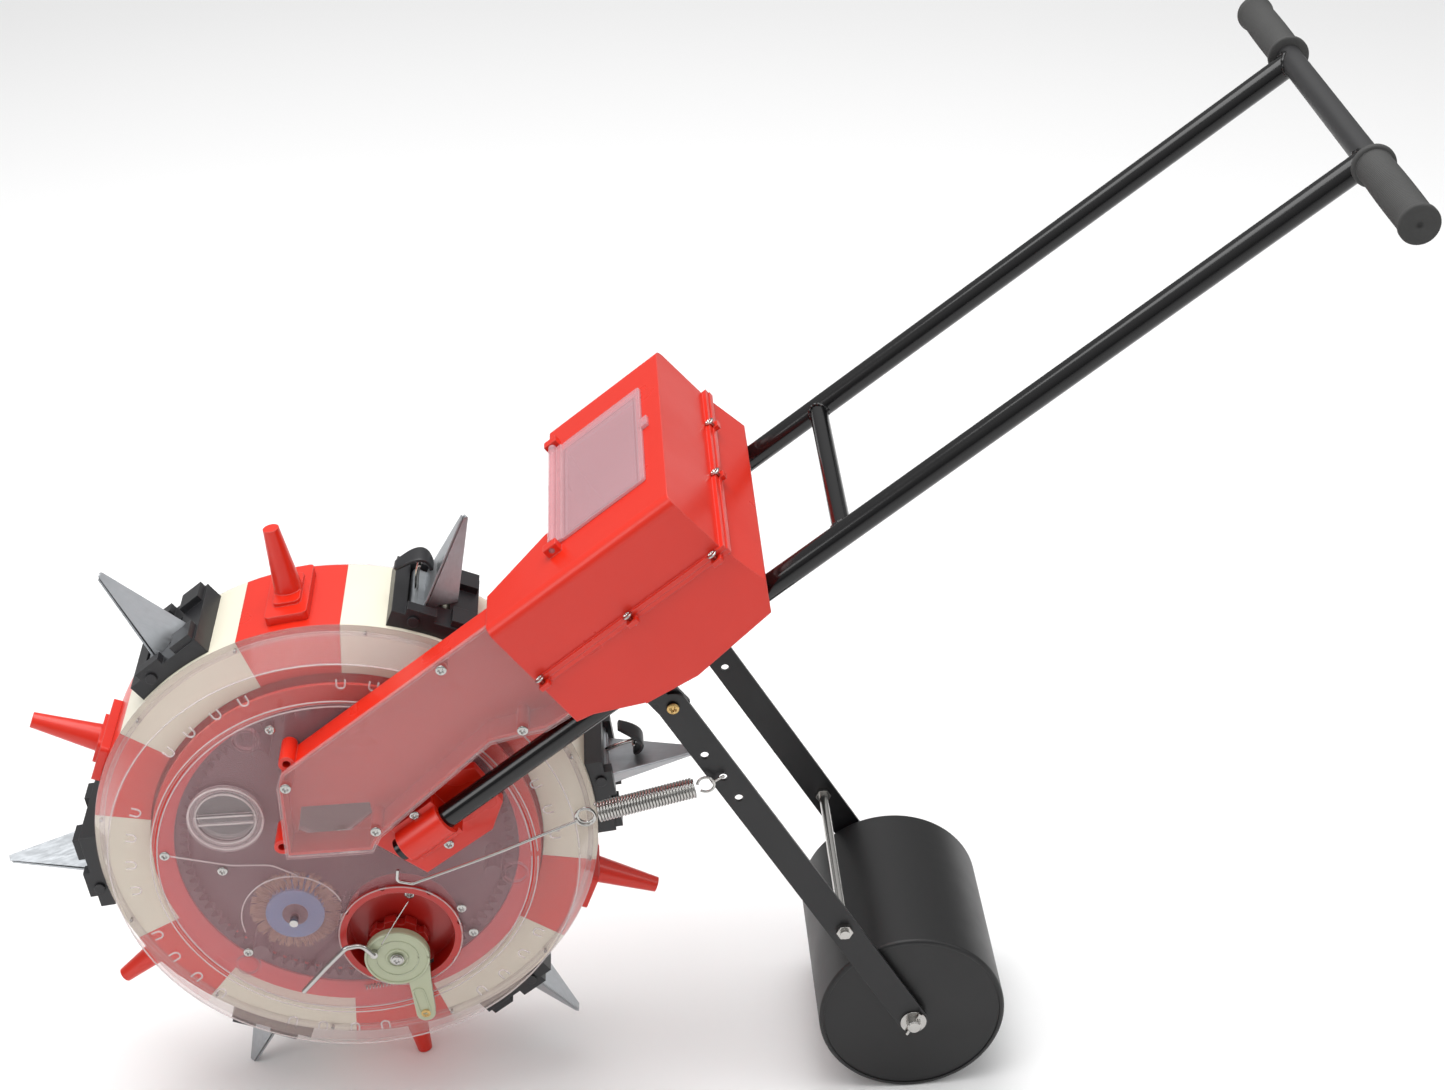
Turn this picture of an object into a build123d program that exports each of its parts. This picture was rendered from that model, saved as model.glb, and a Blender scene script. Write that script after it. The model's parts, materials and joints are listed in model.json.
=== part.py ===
"""Hand-push rotary seeder: a spiked planting drum, a grain hopper, a T handle and a sprung press roller.

Frame: +X is rearwards, towards the handle, -Y is the metering side and +Z is up. The origin is on the
ground, under the middle of the machine.
"""

from math import acos, cos, degrees, hypot, pi, radians, sin, tan
import os

from build123d import *

os.makedirs("parts", exist_ok=True)

# ---------------------------------------------------------------- driving dimensions, in mm and degrees
RIM_R = 205.0  # drum rim
RIM_HALF = 47.0  # half the rim's width
RIM_WALL = 4.0
CHEEK_R = 160.0  # inner edge of the rim segments' side walls
RED_SPAN = 23.6  # arc of one red segment
STATIONS = 6  # pegs, and as many duckbills between them
PEG_PHASE = 37.5
BEAK_PHASE = 6.5
PEG_TIP_R = 270.4
BEAK_TIP_R = 293.0
AXLE_Z = 268.935  # axle height with one peg and one beak on the ground

DISH_Y = 81.0  # outer face of the clear sides
DISH_WALL = 3.0
DISH_FLAT_R = 190.5
DISH_HOLE_R = 153.0
DISC_R = 151.5  # fixed disc inside the clear ring

AXLE_R = 8.0
RUN_GAP = 0.05  # radial clearance of a running shaft

HANDLE_TILT = 36.56
TUBE_R = 9.5
TUBE_BORE_R = 8.0
TUBE_Y = 105.2
TUBE_T = -7.0  # tube axis below the line through the drum's centre
TUBE_START = 55.0
BRACE_S = 500.0
CROSSBAR_S = 963.6
CROSSBAR_HALF = 222.0
GRIP_R = 16.5
GRIP_LENGTH = 106.0

ROLLER_R = 79.2
ROLLER_HALF = 90.5
ROLLER_X = 460.5  # roller axle behind the drum axle
ARM_Y = 98.6  # outer face of the press arms
ARM_T = 3.0

FRONT_REACH = 291.47  # tip of the foremost beak
REAR_REACH = CROSSBAR_S * cos(radians(HANDLE_TILT)) - TUBE_T * sin(radians(HANDLE_TILT)) + GRIP_R + 3
AXLE_X = (FRONT_REACH - REAR_REACH) / 2

AXLE = Vector(AXLE_X, 0, AXLE_Z)
DRUM_AXIS = Axis(AXLE, (0, -1, 0))

# Gears: one internal ring on the drum, then metering gear, idler and brush gear.
MODULE = 3.0
RING_TEETH = 88
METER_TEETH = 22
IDLER_TEETH = 12
BRUSH_TEETH = 14
PRESSURE = radians(20)
METER_ANGLE = -70.5
BRUSH_SIDE = 153.8  # direction from the metering shaft to the brush shaft
GEAR_FAR = -50.0
GEAR_NEAR = -58.0


def at_angle(radius, angle):
    """Point in the drum's side view."""
    return (radius * cos(radians(angle)), radius * sin(radians(angle)))


def along(start, length, angle):
    """Point at a distance from another, in the drum's side view."""
    step = at_angle(length, angle)
    return (start[0] + step[0], start[1] + step[1])


def side(y):
    """Side view about the drum axle: local x rearwards, local y up, extruding towards -Y."""
    return Plane(origin=(AXLE_X, y, AXLE_Z), x_dir=(1, 0, 0), z_dir=(0, -1, 0))


def handle(y):
    """Side view along the handle tubes: local x is s, up the handle, and local y is t, across it."""
    tilt = radians(HANDLE_TILT)
    return Plane(origin=(AXLE_X, y, AXLE_Z), x_dir=(cos(tilt), 0, sin(tilt)), z_dir=(0, -1, 0))


def handle_top(t):
    """Plane across the hopper at height t: local x is s and local y is Y, normal up."""
    across = handle(0)
    return Plane(origin=across.from_local_coords((0, t, 0)), x_dir=across.x_dir, z_dir=across.y_dir)


def section(angle):
    """Half plane through the drum's axis: local x is radius and local y is Y."""
    a = radians(angle)
    return Plane(origin=AXLE, x_dir=(cos(a), 0, sin(a)), z_dir=(-sin(a), 0, cos(a)))


def station(angle, radius=RIM_R):
    """Plane on the rim: local x forwards round the rim, local y is -Y, normal outwards."""
    a = radians(angle)
    foot = AXLE + Vector(radius * cos(a), 0, radius * sin(a))
    return Plane(origin=foot, x_dir=(-sin(a), 0, cos(a)), z_dir=(cos(a), 0, sin(a)))


def stations(phase, radius=RIM_R):
    """The six planes round the rim, the first at a phase angle."""
    return [station(phase + 360 / STATIONS * k, radius) for k in range(STATIONS)]


def keep(part, name):
    """Name a finished piece and write it."""
    part.label = name
    export_step(part, f"parts/{name}.step")


def screws(name, placed, head_r=3.2, head_h=1.8, shank_r=1.7, shank_h=8.0):
    """Pan-head screws, one on each plane, with the head outwards along the plane's normal."""
    with BuildPart(*placed) as screw:
        Cylinder(head_r, head_h, align=(Align.CENTER, Align.CENTER, Align.MIN))
        Cylinder(shank_r, shank_h, align=(Align.CENTER, Align.CENTER, Align.MAX))
    keep(screw.part, name)


def on_side(y, point):
    """Plane at a point of the side view, facing -Y."""
    base = side(y)
    return Plane(origin=base.from_local_coords((point[0], point[1], 0)), x_dir=base.x_dir, z_dir=base.z_dir)


def on_handle(y, point):
    """Plane at a point of the handle's view, facing -Y."""
    base = handle(y)
    return Plane(origin=base.from_local_coords((point[0], point[1], 0)), x_dir=base.x_dir, z_dir=base.z_dir)


# ---------------------------------------------------------------- drum: rim, sides and divider wheel
def rim_segments(name, start, span):
    """Channel-shaped rim segments, each with an outer wall and two side walls."""
    channel = [
        (CHEEK_R, -RIM_HALF),
        (RIM_R, -RIM_HALF),
        (RIM_R, RIM_HALF),
        (CHEEK_R, RIM_HALF),
        (CHEEK_R, RIM_HALF - 3),
        (RIM_R - RIM_WALL, RIM_HALF - 3),
        (RIM_R - RIM_WALL, 3 - RIM_HALF),
        (CHEEK_R, 3 - RIM_HALF),
    ]
    with BuildPart() as segments:
        for k in range(STATIONS):
            with BuildSketch(section(start + 360 / STATIONS * k)):
                Polygon(*channel, align=None)
            revolve(axis=DRUM_AXIS, revolution_arc=span)
    return segments


red = rim_segments("red_segments", PEG_PHASE - RED_SPAN / 2, RED_SPAN)
keep(red.part, "red_segments")

CREAM_SPAN = 360 / STATIONS - RED_SPAN
SEED_SLOT = (22.0, 34.0)  # hole under each duckbill, round the rim and across it
cream = rim_segments("cream_segments", PEG_PHASE + RED_SPAN / 2, CREAM_SPAN)
with BuildPart() as cream_rim:
    add(cream.part)
    with BuildSketch(*stations(BEAK_PHASE, RIM_R - 12)):
        Rectangle(*SEED_SLOT)
    extrude(amount=20, mode=Mode.SUBTRACT)
keep(cream_rim.part, "cream_segments")


def clear_ring(outward):
    """Clear dished side of the drum; outward is -1 on the near side and +1 on the far side."""
    outer = DISH_Y * outward
    inner = (DISH_Y - DISH_WALL) * outward
    rim = RIM_HALF * outward
    profile = [
        (DISH_HOLE_R, outer),
        (DISH_FLAT_R, outer),
        (RIM_R, rim + 1.5 * outward),
        (RIM_R, rim + 0.02 * outward),
        (RIM_R - 8, rim + 0.02 * outward),
        (RIM_R - 8, rim + DISH_WALL * outward),
        (RIM_R - 4, rim + DISH_WALL * outward),
        (DISH_FLAT_R - 2, inner),
        (DISH_HOLE_R, inner),
    ]
    with BuildPart() as ring:
        with BuildSketch(section(0)):
            Polygon(*profile, align=None)
        revolve(axis=DRUM_AXIS)
    return ring


keep(clear_ring(-1).part, "clear_ring_near")
keep(clear_ring(1).part, "clear_ring_far")

RIM_SCREW_R = RIM_R - 5.5
rim_screw_angles = [PEG_PHASE + 30 * k + 12.5 for k in range(12)]
screws(
    "ring_screws",
    [on_side(-RIM_HALF - DISH_WALL, at_angle(RIM_SCREW_R, a)) for a in rim_screw_angles],
    head_r=1.6,
    head_h=1.4,
    shank_r=1.0,
    shank_h=5.0,
)

HUB_R = 20.0
WEB_NEAR = -38.0
WEB_FAR = -34.0
WALL_R = 140.0  # inside of the divider wheel's drum
FLANGE_R = 162.0
HUB_FAR = 50.0
with BuildPart() as divider:
    with BuildSketch(section(0)):
        Polygon(
            (AXLE_R + RUN_GAP, -41),
            (HUB_R, -41),
            (HUB_R, WEB_NEAR),
            (WALL_R, WEB_NEAR),
            (WALL_R, -60),
            (FLANGE_R - 4, -60),
            (FLANGE_R - 4, -57),
            (WALL_R + 4, -57),
            (WALL_R + 4, WEB_NEAR),
            (RIM_R - RIM_WALL - 0.1, WEB_NEAR),
            (RIM_R - RIM_WALL - 0.1, WEB_FAR),
            (HUB_R, WEB_FAR),
            (HUB_R, HUB_FAR),
            (AXLE_R + RUN_GAP, HUB_FAR),
            align=None,
        )
    revolve(axis=DRUM_AXIS)
    with BuildSketch(side(WEB_NEAR + 10)):
        for angle in [BEAK_PHASE + 60 * k for k in range(STATIONS)]:
            with Locations(at_angle(180, angle)):
                Rectangle(26, 18, rotation=angle)
    extrude(amount=14, mode=Mode.SUBTRACT)
keep(divider.part, "divider_wheel")

with BuildPart() as far_web:
    with BuildSketch(side(HUB_FAR + 4)):
        Circle(CHEEK_R + 8)
        Circle(HUB_R + 6, mode=Mode.SUBTRACT)
        with PolarLocations(100, 6, start_angle=PEG_PHASE):
            Circle(24, mode=Mode.SUBTRACT)
    extrude(amount=HUB_FAR + 4 - RIM_HALF - 0.02)
    with BuildSketch(side(HUB_FAR + 4)):
        Circle(HUB_R + 6)
        Circle(AXLE_R + RUN_GAP, mode=Mode.SUBTRACT)
    extrude(amount=4 - 0.02)
    with BuildSketch(side(HUB_FAR)):
        Circle(HUB_R + 6)
        Circle(HUB_R + 0.02, mode=Mode.SUBTRACT)
    extrude(amount=12)
keep(far_web.part, "far_web")


# ---------------------------------------------------------------- pegs and duckbills
PEG_BASE = (34.0, 75.0, 7.0)
PEG_STEP = (22.0, 46.0, 3.0)


def drum_cutter():
    """The drum's own cylinder, to cut from whatever is bedded on it."""
    with BuildPart() as cutter:
        with BuildSketch(side(60)):
            Circle(RIM_R + 0.05)
        extrude(amount=120)
    return cutter.part


BED = drum_cutter()

with BuildPart() as pegs:
    with BuildSketch(*stations(PEG_PHASE, RIM_R - 2)):
        RectangleRounded(PEG_BASE[0], PEG_BASE[1], 4)
    extrude(amount=PEG_BASE[2] + 2)
    with BuildSketch(*stations(PEG_PHASE, RIM_R + PEG_BASE[2])):
        RectangleRounded(PEG_STEP[0], PEG_STEP[1], 5)
    extrude(amount=PEG_STEP[2])
    for foot in stations(PEG_PHASE, RIM_R + PEG_BASE[2] + PEG_STEP[2]):
        with BuildSketch(foot):
            Circle(11.5)
        with BuildSketch(foot.offset(PEG_TIP_R - RIM_R - PEG_BASE[2] - PEG_STEP[2])):
            Circle(6.5)
        loft()
    add(BED, mode=Mode.SUBTRACT)
keep(pegs.part, "planting_pegs")

# Station frame: x forwards round the rim, y towards the near side, z outwards from the rim.
BASE_TOP = 12.0
BASE_HALF_Y = 43.0
PIN_X = 14.0
PIN_Z = 8.0
PIN_R = 3.0
BARREL_R = 5.0
EAR_IN = 31.6
with BuildPart() as bases:
    with BuildSketch(*stations(BEAK_PHASE, RIM_R - 4)):
        with Locations((-2, 0)):
            Rectangle(70, 2 * BASE_HALF_Y)
    extrude(amount=BASE_TOP + 4)
    with BuildSketch(*stations(BEAK_PHASE, RIM_R + BASE_TOP)):
        for end in (-1, 1):
            with Locations((PIN_X - 4, end * (BASE_HALF_Y + EAR_IN) / 2)):
                Rectangle(24, BASE_HALF_Y - EAR_IN)
            with Locations((-25, end * 30)):
                Rectangle(20, 22)
    extrude(amount=6)
    add(BED, mode=Mode.SUBTRACT)
    with BuildSketch(*stations(BEAK_PHASE, RIM_R + 2.4)):
        with Locations((PIN_X, 0)):
            Rectangle(14.6, 2 * EAR_IN)
    extrude(amount=30, mode=Mode.SUBTRACT)
    with BuildSketch(*stations(BEAK_PHASE, RIM_R - 12)):
        with Locations((-4, 0)):
            Rectangle(20, 32)
    extrude(amount=30, mode=Mode.SUBTRACT)
    for k in range(STATIONS):
        seat = station(BEAK_PHASE + 60 * k)
        hole = Plane(origin=seat.from_local_coords((PIN_X, 0, PIN_Z)), x_dir=seat.x_dir, z_dir=(0, -1, 0))
        with BuildSketch(hole):
            Circle(PIN_R + 0.02)
        extrude(amount=60, both=True, mode=Mode.SUBTRACT)
keep(bases.part, "beak_bases")

BEAK_ROOT_Z = BASE_TOP + 0.02
BEAK_TIP_Z = BEAK_TIP_R - RIM_R
with BuildPart() as beaks:
    for seat in stations(BEAK_PHASE):
        with BuildSketch(seat.offset(BEAK_ROOT_Z)):
            Polygon((-20, 0), (6, -26), (6, 26), align=None)
        with BuildSketch(seat.offset(BEAK_TIP_Z)):
            Polygon((-3, 0), (0.5, -3.2), (0.5, 3.2), align=None)
        loft()
        with BuildSketch(seat.offset(BEAK_ROOT_Z)):
            Polygon((-17.9, 0), (9, -26.9), (9, 26.9), align=None)
        with BuildSketch(seat.offset(BEAK_TIP_Z)):
            Polygon((-1.2, 0), (2.4, -3.3), (2.4, 3.3), align=None)
        loft(mode=Mode.SUBTRACT)
keep(beaks.part, "fixed_beaks")

with BuildPart() as pins:
    for k in range(STATIONS):
        seat = station(BEAK_PHASE + 60 * k)
        core = Plane(origin=seat.from_local_coords((PIN_X, 0, PIN_Z)), x_dir=seat.x_dir, z_dir=(0, -1, 0))
        with BuildSketch(core):
            Circle(PIN_R)
        extrude(amount=BASE_HALF_Y + 1, both=True)
        with BuildSketch(core.offset(BASE_HALF_Y + 0.1), core.offset(-BASE_HALF_Y - 2.1)):
            Circle(PIN_R + 1.6)
        extrude(amount=2)
keep(pins.part, "beak_pins")

for k in range(STATIONS):
    seat = station(BEAK_PHASE + 60 * k)
    core = Plane(origin=seat.from_local_coords((PIN_X, 0, PIN_Z)), x_dir=seat.x_dir, z_dir=(0, -1, 0))
    with BuildPart() as flap:
        with BuildSketch(seat.offset(BASE_TOP + 1)):
            with Locations((7.7, 0)):
                Rectangle(1.6, 54)
        with BuildSketch(seat.offset(BEAK_TIP_Z - 2)):
            with Locations((1.8, 0)):
                Rectangle(1.4, 8)
        loft()
        with BuildSketch(core):
            Circle(BARREL_R)
        extrude(amount=EAR_IN - 0.6, both=True)
        with BuildSketch(seat.offset(PIN_Z + 2)):
            with Locations((PIN_X - 3.6, 0)):
                Rectangle(7, 54)
        extrude(amount=4.2)
        with BuildSketch(core):
            Circle(PIN_R + RUN_GAP)
        extrude(amount=EAR_IN + 5, both=True, mode=Mode.SUBTRACT)
    keep(flap.part, f"beak_flap_{k + 1}")


# ---------------------------------------------------------------- gears
def half_tooth(teeth, radius, thicker):
    """Half a tooth's angle at a radius, on an involute flank; thicker widens it at the pitch circle."""
    pitch = MODULE * teeth / 2
    base = pitch * cos(PRESSURE)
    roll = 0.0
    if radius > base:
        pressure = acos(base / radius)
        roll = tan(pressure) - pressure
    return pi / (2 * teeth) + tan(PRESSURE) - PRESSURE - roll + thicker / (2 * pitch)


def gear_outline(teeth, phase, centre, root, tip, thicker):
    """Closed outline of a spur gear, with one tooth centred on the phase angle."""
    points = []
    pitch = MODULE * teeth / 2
    for tooth in range(teeth):
        middle = radians(phase) + 2 * pi * tooth / teeth
        for radius, turn in ((root, -1), (pitch, -1), (tip, -1), (tip, 1), (pitch, 1), (root, 1)):
            angle = middle + turn * half_tooth(teeth, radius, thicker)
            points.append((centre[0] + radius * cos(angle), centre[1] + radius * sin(angle)))
    return points


def spur(teeth, phase, centre):
    """Outline of a pinion with outward teeth."""
    pitch = MODULE * teeth / 2
    return gear_outline(teeth, phase, centre, pitch - 3.4, pitch + 2.6, -0.3)


RING_PITCH = MODULE * RING_TEETH / 2
METER_PITCH = MODULE * METER_TEETH / 2
IDLER_PITCH = MODULE * IDLER_TEETH / 2
BRUSH_PITCH = MODULE * BRUSH_TEETH / 2
METER_AT = at_angle(RING_PITCH - METER_PITCH, METER_ANGLE)
IDLER_AT = along(METER_AT, METER_PITCH + IDLER_PITCH, BRUSH_SIDE)
BRUSH_AT = along(IDLER_AT, IDLER_PITCH + BRUSH_PITCH, BRUSH_SIDE)
IDLER_PHASE = BRUSH_SIDE + 180 + 180 / IDLER_TEETH - (METER_ANGLE - BRUSH_SIDE) * METER_TEETH / IDLER_TEETH
BRUSH_PHASE = BRUSH_SIDE + 180 + 180 / BRUSH_TEETH - (IDLER_PHASE - BRUSH_SIDE) * IDLER_TEETH / BRUSH_TEETH
STUD_R = 3.5
GATE_NEAR = -91.0
GATE_FAR = -85.0

with BuildPart() as ring_gear:
    with BuildSketch(side(GEAR_FAR)):
        Circle(WALL_R - 0.05)
        gap = gear_outline(RING_TEETH, METER_ANGLE, (0, 0), RING_PITCH - 2.6, RING_PITCH + 3.4, 0.1)
        Polygon(*gap, align=None, mode=Mode.SUBTRACT)
    extrude(amount=GEAR_FAR - GEAR_NEAR)
keep(ring_gear.part, "ring_gear")

# The cup is a little off the metering shaft, so the wheel runs low in it.
CUP_AT = (37.4, -76.1)
CUP_R = 47.0
CUP_WALL = 2.5
CUP_FLOOR = -61.0
CUP_FRONT = -84.0
WHEEL_R = 26.0
with BuildPart() as metering:
    with BuildSketch(side(GEAR_FAR)):
        Polygon(*spur(METER_TEETH, METER_ANGLE, METER_AT), align=None)
    extrude(amount=GEAR_FAR - GEAR_NEAR)
    with BuildSketch(side(GEAR_NEAR)):
        with Locations(METER_AT):
            Circle(8)
    extrude(amount=8)
    with BuildSketch(side(GEAR_NEAR - 8)):
        with Locations(METER_AT):
            Circle(WHEEL_R)
            with PolarLocations(WHEEL_R, 9):
                Circle(4, mode=Mode.SUBTRACT)
    extrude(amount=9)
    with BuildSketch(side(GEAR_FAR + 1)):
        with Locations(METER_AT):
            Circle(STUD_R + RUN_GAP)
    extrude(amount=40, mode=Mode.SUBTRACT)
keep(metering.part, "metering_wheel")

with BuildPart() as idler:
    with BuildSketch(side(GEAR_FAR)):
        Polygon(*spur(IDLER_TEETH, IDLER_PHASE, IDLER_AT), align=None)
        with Locations(IDLER_AT):
            Circle(STUD_R + RUN_GAP, mode=Mode.SUBTRACT)
    extrude(amount=GEAR_FAR - GEAR_NEAR)
keep(idler.part, "idler_gear")

BRUSH_R = 38.0
BRUSH_HUB_R = 24.0
with BuildPart() as brush_gear:
    with BuildSketch(side(GEAR_FAR)):
        Polygon(*spur(BRUSH_TEETH, BRUSH_PHASE, BRUSH_AT), align=None)
    extrude(amount=GEAR_FAR - GEAR_NEAR)
    with BuildSketch(side(GEAR_NEAR)):
        with Locations(BRUSH_AT):
            Circle(8)
    extrude(amount=5)
    with BuildSketch(side(-63)):
        with Locations(BRUSH_AT):
            Circle(BRUSH_HUB_R)
    extrude(amount=12)
    with BuildSketch(side(GEAR_FAR + 1)):
        with Locations(BRUSH_AT):
            Circle(STUD_R + RUN_GAP)
    extrude(amount=40, mode=Mode.SUBTRACT)
keep(brush_gear.part, "brush_hub")

with BuildPart() as bristles:
    with BuildSketch(side(-64)):
        with Locations(BRUSH_AT):
            Circle(BRUSH_R)
            Circle(BRUSH_HUB_R + 0.02, mode=Mode.SUBTRACT)
    extrude(amount=10)
keep(bristles.part, "brush_bristles")

# ---------------------------------------------------------------- fixed core: axle, plates, studs and cup
AXLE_NEAR = -54.0
AXLE_FAR = 92.0
with BuildPart() as main_axle:
    with BuildSketch(side(AXLE_FAR)):
        Circle(AXLE_R)
    extrude(amount=AXLE_FAR - AXLE_NEAR)
    chamfer(main_axle.edges().filter_by(GeomType.CIRCLE), length=1)
keep(main_axle.part, "main_axle")

NUT_H = 6.0
with BuildPart() as axle_nuts:
    for top in (AXLE_FAR - 2, -46.3):
        with BuildSketch(side(top)):
            RegularPolygon(radius=14, side_count=6)
            Circle(AXLE_R + 0.02, mode=Mode.SUBTRACT)
        extrude(amount=NUT_H)
keep(axle_nuts.part, "axle_nuts")

PLATE_R = 136.0
PLATE_FAR = -43.0
PLATE_T = 3.2
SPACER_ANGLES = (118.3, -10.4, -132.0)
SPACER_R = 7.0
SPACER_AT_R = 119.5
DIMPLE_AT_R = 138.0
with BuildPart() as back_plate:
    with BuildSketch(side(PLATE_FAR)):
        Circle(PLATE_R)
        Circle(AXLE_R + 0.02, mode=Mode.SUBTRACT)
    extrude(amount=PLATE_T)
keep(back_plate.part, "back_plate")

with BuildPart() as spacers:
    with BuildSketch(side(PLATE_FAR - PLATE_T - 0.02)):
        for angle in SPACER_ANGLES:
            with Locations(at_angle(SPACER_AT_R, angle)):
                Circle(SPACER_R)
    extrude(amount=DISH_Y - DISH_WALL + PLATE_FAR - PLATE_T - 0.04)
keep(spacers.part, "disc_spacers")

with BuildPart() as studs:
    for centre, end in ((METER_AT, GATE_NEAR - 2.4), (IDLER_AT, -60.0), (BRUSH_AT, -88.0)):
        with BuildSketch(side(PLATE_FAR - PLATE_T - 0.02)):
            with Locations(centre):
                Circle(STUD_R)
        extrude(amount=PLATE_FAR - PLATE_T - end)
    with BuildSketch(side(GATE_NEAR - 0.4)):
        with Locations(METER_AT):
            Circle(STUD_R + 2)
    extrude(amount=2)
keep(studs.part, "gear_studs")

WINDOW = [(8, 22), (52, 24), (58, 34), (14, 66), (-4, 50)]  # seed window in the fixed disc, in s and t
CAP_AT = (-89.7, 52.5)
CAP_R = 30.7
with BuildPart() as disc_near:
    with BuildSketch(side(DISH_WALL - DISH_Y)):
        Circle(DISC_R)
        with Locations(CUP_AT):
            Circle(CUP_R + 0.1, mode=Mode.SUBTRACT)
        with Locations(BRUSH_AT):
            Circle(STUD_R + 0.1, mode=Mode.SUBTRACT)
        with Locations(CAP_AT):
            Circle(CAP_R - 6, mode=Mode.SUBTRACT)
    extrude(amount=DISH_WALL)
    with BuildSketch(handle(DISH_WALL - DISH_Y)):
        Polygon(*WINDOW, align=None)
    extrude(amount=DISH_WALL, mode=Mode.SUBTRACT)
    with BuildSketch(side(-DISH_Y + DISH_WALL + 4)):
        for angle in SPACER_ANGLES:
            with Locations(at_angle(DIMPLE_AT_R, angle)):
                Circle(10.4)
                Circle(8.6, mode=Mode.SUBTRACT)
    extrude(amount=4)
keep(disc_near.part, "fixed_disc_near")

with BuildPart() as disc_far:
    with BuildSketch(side(DISH_Y)):
        Circle(DISC_R)
        Circle(AXLE_R + 0.02, mode=Mode.SUBTRACT)
    extrude(amount=DISH_WALL)
    with BuildSketch(side(DISH_Y - DISH_WALL)):
        Circle(30)
        Circle(AXLE_R + 0.02, mode=Mode.SUBTRACT)
    extrude(amount=20)
keep(disc_far.part, "fixed_disc_far")

with BuildPart() as cup:
    with BuildSketch(side(CUP_FLOOR)):
        with Locations(CUP_AT):
            Circle(CUP_R)
    extrude(amount=CUP_FLOOR - CUP_FRONT)
    with BuildSketch(side(CUP_FLOOR - CUP_WALL)):
        with Locations(CUP_AT):
            Circle(CUP_R - CUP_WALL)
    extrude(amount=40, mode=Mode.SUBTRACT)
    with BuildSketch(side(-DISH_Y - 0.02)):
        with Locations(CUP_AT):
            Circle(CUP_R + 4)
            Circle(CUP_R - 0.5, mode=Mode.SUBTRACT)
            with PolarLocations(CUP_R + 4.5, 8, start_angle=12):
                Circle(3.2, mode=Mode.SUBTRACT)
    extrude(amount=3)
    with BuildSketch(side(CUP_FLOOR + 1)):
        with Locations(METER_AT):
            Circle(9)
    extrude(amount=10, mode=Mode.SUBTRACT)
    with BuildSketch(side(CUP_FLOOR - CUP_WALL)):
        with Locations(along(CUP_AT, CUP_R - 1, 150), along(CUP_AT, CUP_R - 1, -75)):
            Rectangle(22, 22)
    extrude(amount=9, mode=Mode.SUBTRACT)
keep(cup.part, "metering_cup")

with BuildPart() as twist_cap:
    with BuildSketch(side(-DISH_Y - 0.4)):
        with Locations(CAP_AT):
            Circle(CAP_R)
            Circle(CAP_R - 6.5, mode=Mode.SUBTRACT)
    extrude(amount=5)
    with BuildSketch(side(-DISH_Y - 0.4)):
        with Locations(CAP_AT):
            Circle(CAP_R - 6)
    extrude(amount=1.6)
    with BuildSketch(side(-DISH_Y - 2)):
        with Locations(CAP_AT):
            Rectangle(2 * CAP_R - 12, 8)
    extrude(amount=4)
    with BuildSketch(side(-DISH_Y + DISH_WALL + 3)):
        with Locations(CAP_AT):
            Circle(CAP_R - 6.4)
            Circle(CAP_R - 8.4, mode=Mode.SUBTRACT)
    extrude(amount=DISH_WALL + 3.4)
keep(twist_cap.part, "clean_out_cap")

GATE_R = 27.0
TAIL_END = (51.3, -153.0)
TAIL_MID = (46.5, -121.0)
with BuildPart() as seed_gate:
    with BuildSketch(side(GATE_FAR)):
        with Locations(METER_AT):
            Circle(GATE_R)
        Polygon(
            (METER_AT[0] + 6, METER_AT[1] - 18),
            (METER_AT[0] + 26, METER_AT[1] - 10),
            (TAIL_MID[0] + 12, TAIL_MID[1]),
            (TAIL_END[0] + 8, TAIL_END[1]),
            (TAIL_END[0] - 8, TAIL_END[1]),
            (TAIL_MID[0] - 6, TAIL_MID[1]),
            align=None,
        )
        with Locations(TAIL_END):
            Circle(8)
    extrude(amount=GATE_FAR - GATE_NEAR)
    with BuildSketch(side(GATE_FAR + 1)):
        with Locations(METER_AT):
            Circle(STUD_R + RUN_GAP)
    extrude(amount=20, mode=Mode.SUBTRACT)
keep(seed_gate.part, "seed_gate")

LEVER_R = 2.2
LEVER_Y = -96.0
lever_route = [
    (METER_AT[0] - 18, METER_AT[1] + 8),
    (METER_AT[0] - 27, METER_AT[1] + 20),
    (-7.0, -75.5),
    (-24.0, -93.0),
    (-46.5, -118.0),
]
with BuildPart() as lever:
    with BuildLine(side(LEVER_Y)) as lever_line:
        FilletPolyline(*lever_route, radius=8)
    with BuildSketch(Plane(origin=lever_line.line @ 0, z_dir=lever_line.line % 0)):
        Circle(LEVER_R)
    sweep()
    with BuildSketch(side(GATE_NEAR - 0.02)):
        with Locations(lever_route[0]):
            Circle(3.2)
    extrude(amount=GATE_NEAR - LEVER_Y)
keep(lever.part, "gate_lever")

disc_screw_points = [
    at_angle(144.5, 172.9),
    at_angle(99.4, -179.6),
    at_angle(123.1, -136.5),
    at_angle(103.9, -30.9),
    at_angle(124.9, -39.1),
    at_angle(140.0, 108.5),
]
disc_screws = [on_side(-DISH_Y, point) for point in disc_screw_points]
cup_screws = [on_side(CUP_FLOOR - CUP_WALL, (46.0, -49.0))]
screws("disc_screws", disc_screws + cup_screws, shank_h=2.4)


# ---------------------------------------------------------------- handle
def tube_axis(side_sign, s):
    """Plane square to a handle tube at distance s along it."""
    at = handle(side_sign * TUBE_Y).from_local_coords((s, TUBE_T, 0))
    return Plane(origin=at, x_dir=(0, 1, 0), z_dir=handle(0).x_dir)


def crossways(s, t, y):
    """Plane square to Y at a handle position, facing -Y."""
    return on_handle(y, (s, t))


def rod(plane, radius, length):
    """Plain round bar that starts on a plane."""
    with BuildPart(plane) as bar:
        Cylinder(radius, length, align=(Align.CENTER, Align.CENTER, Align.MIN))
    return bar.part


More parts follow.
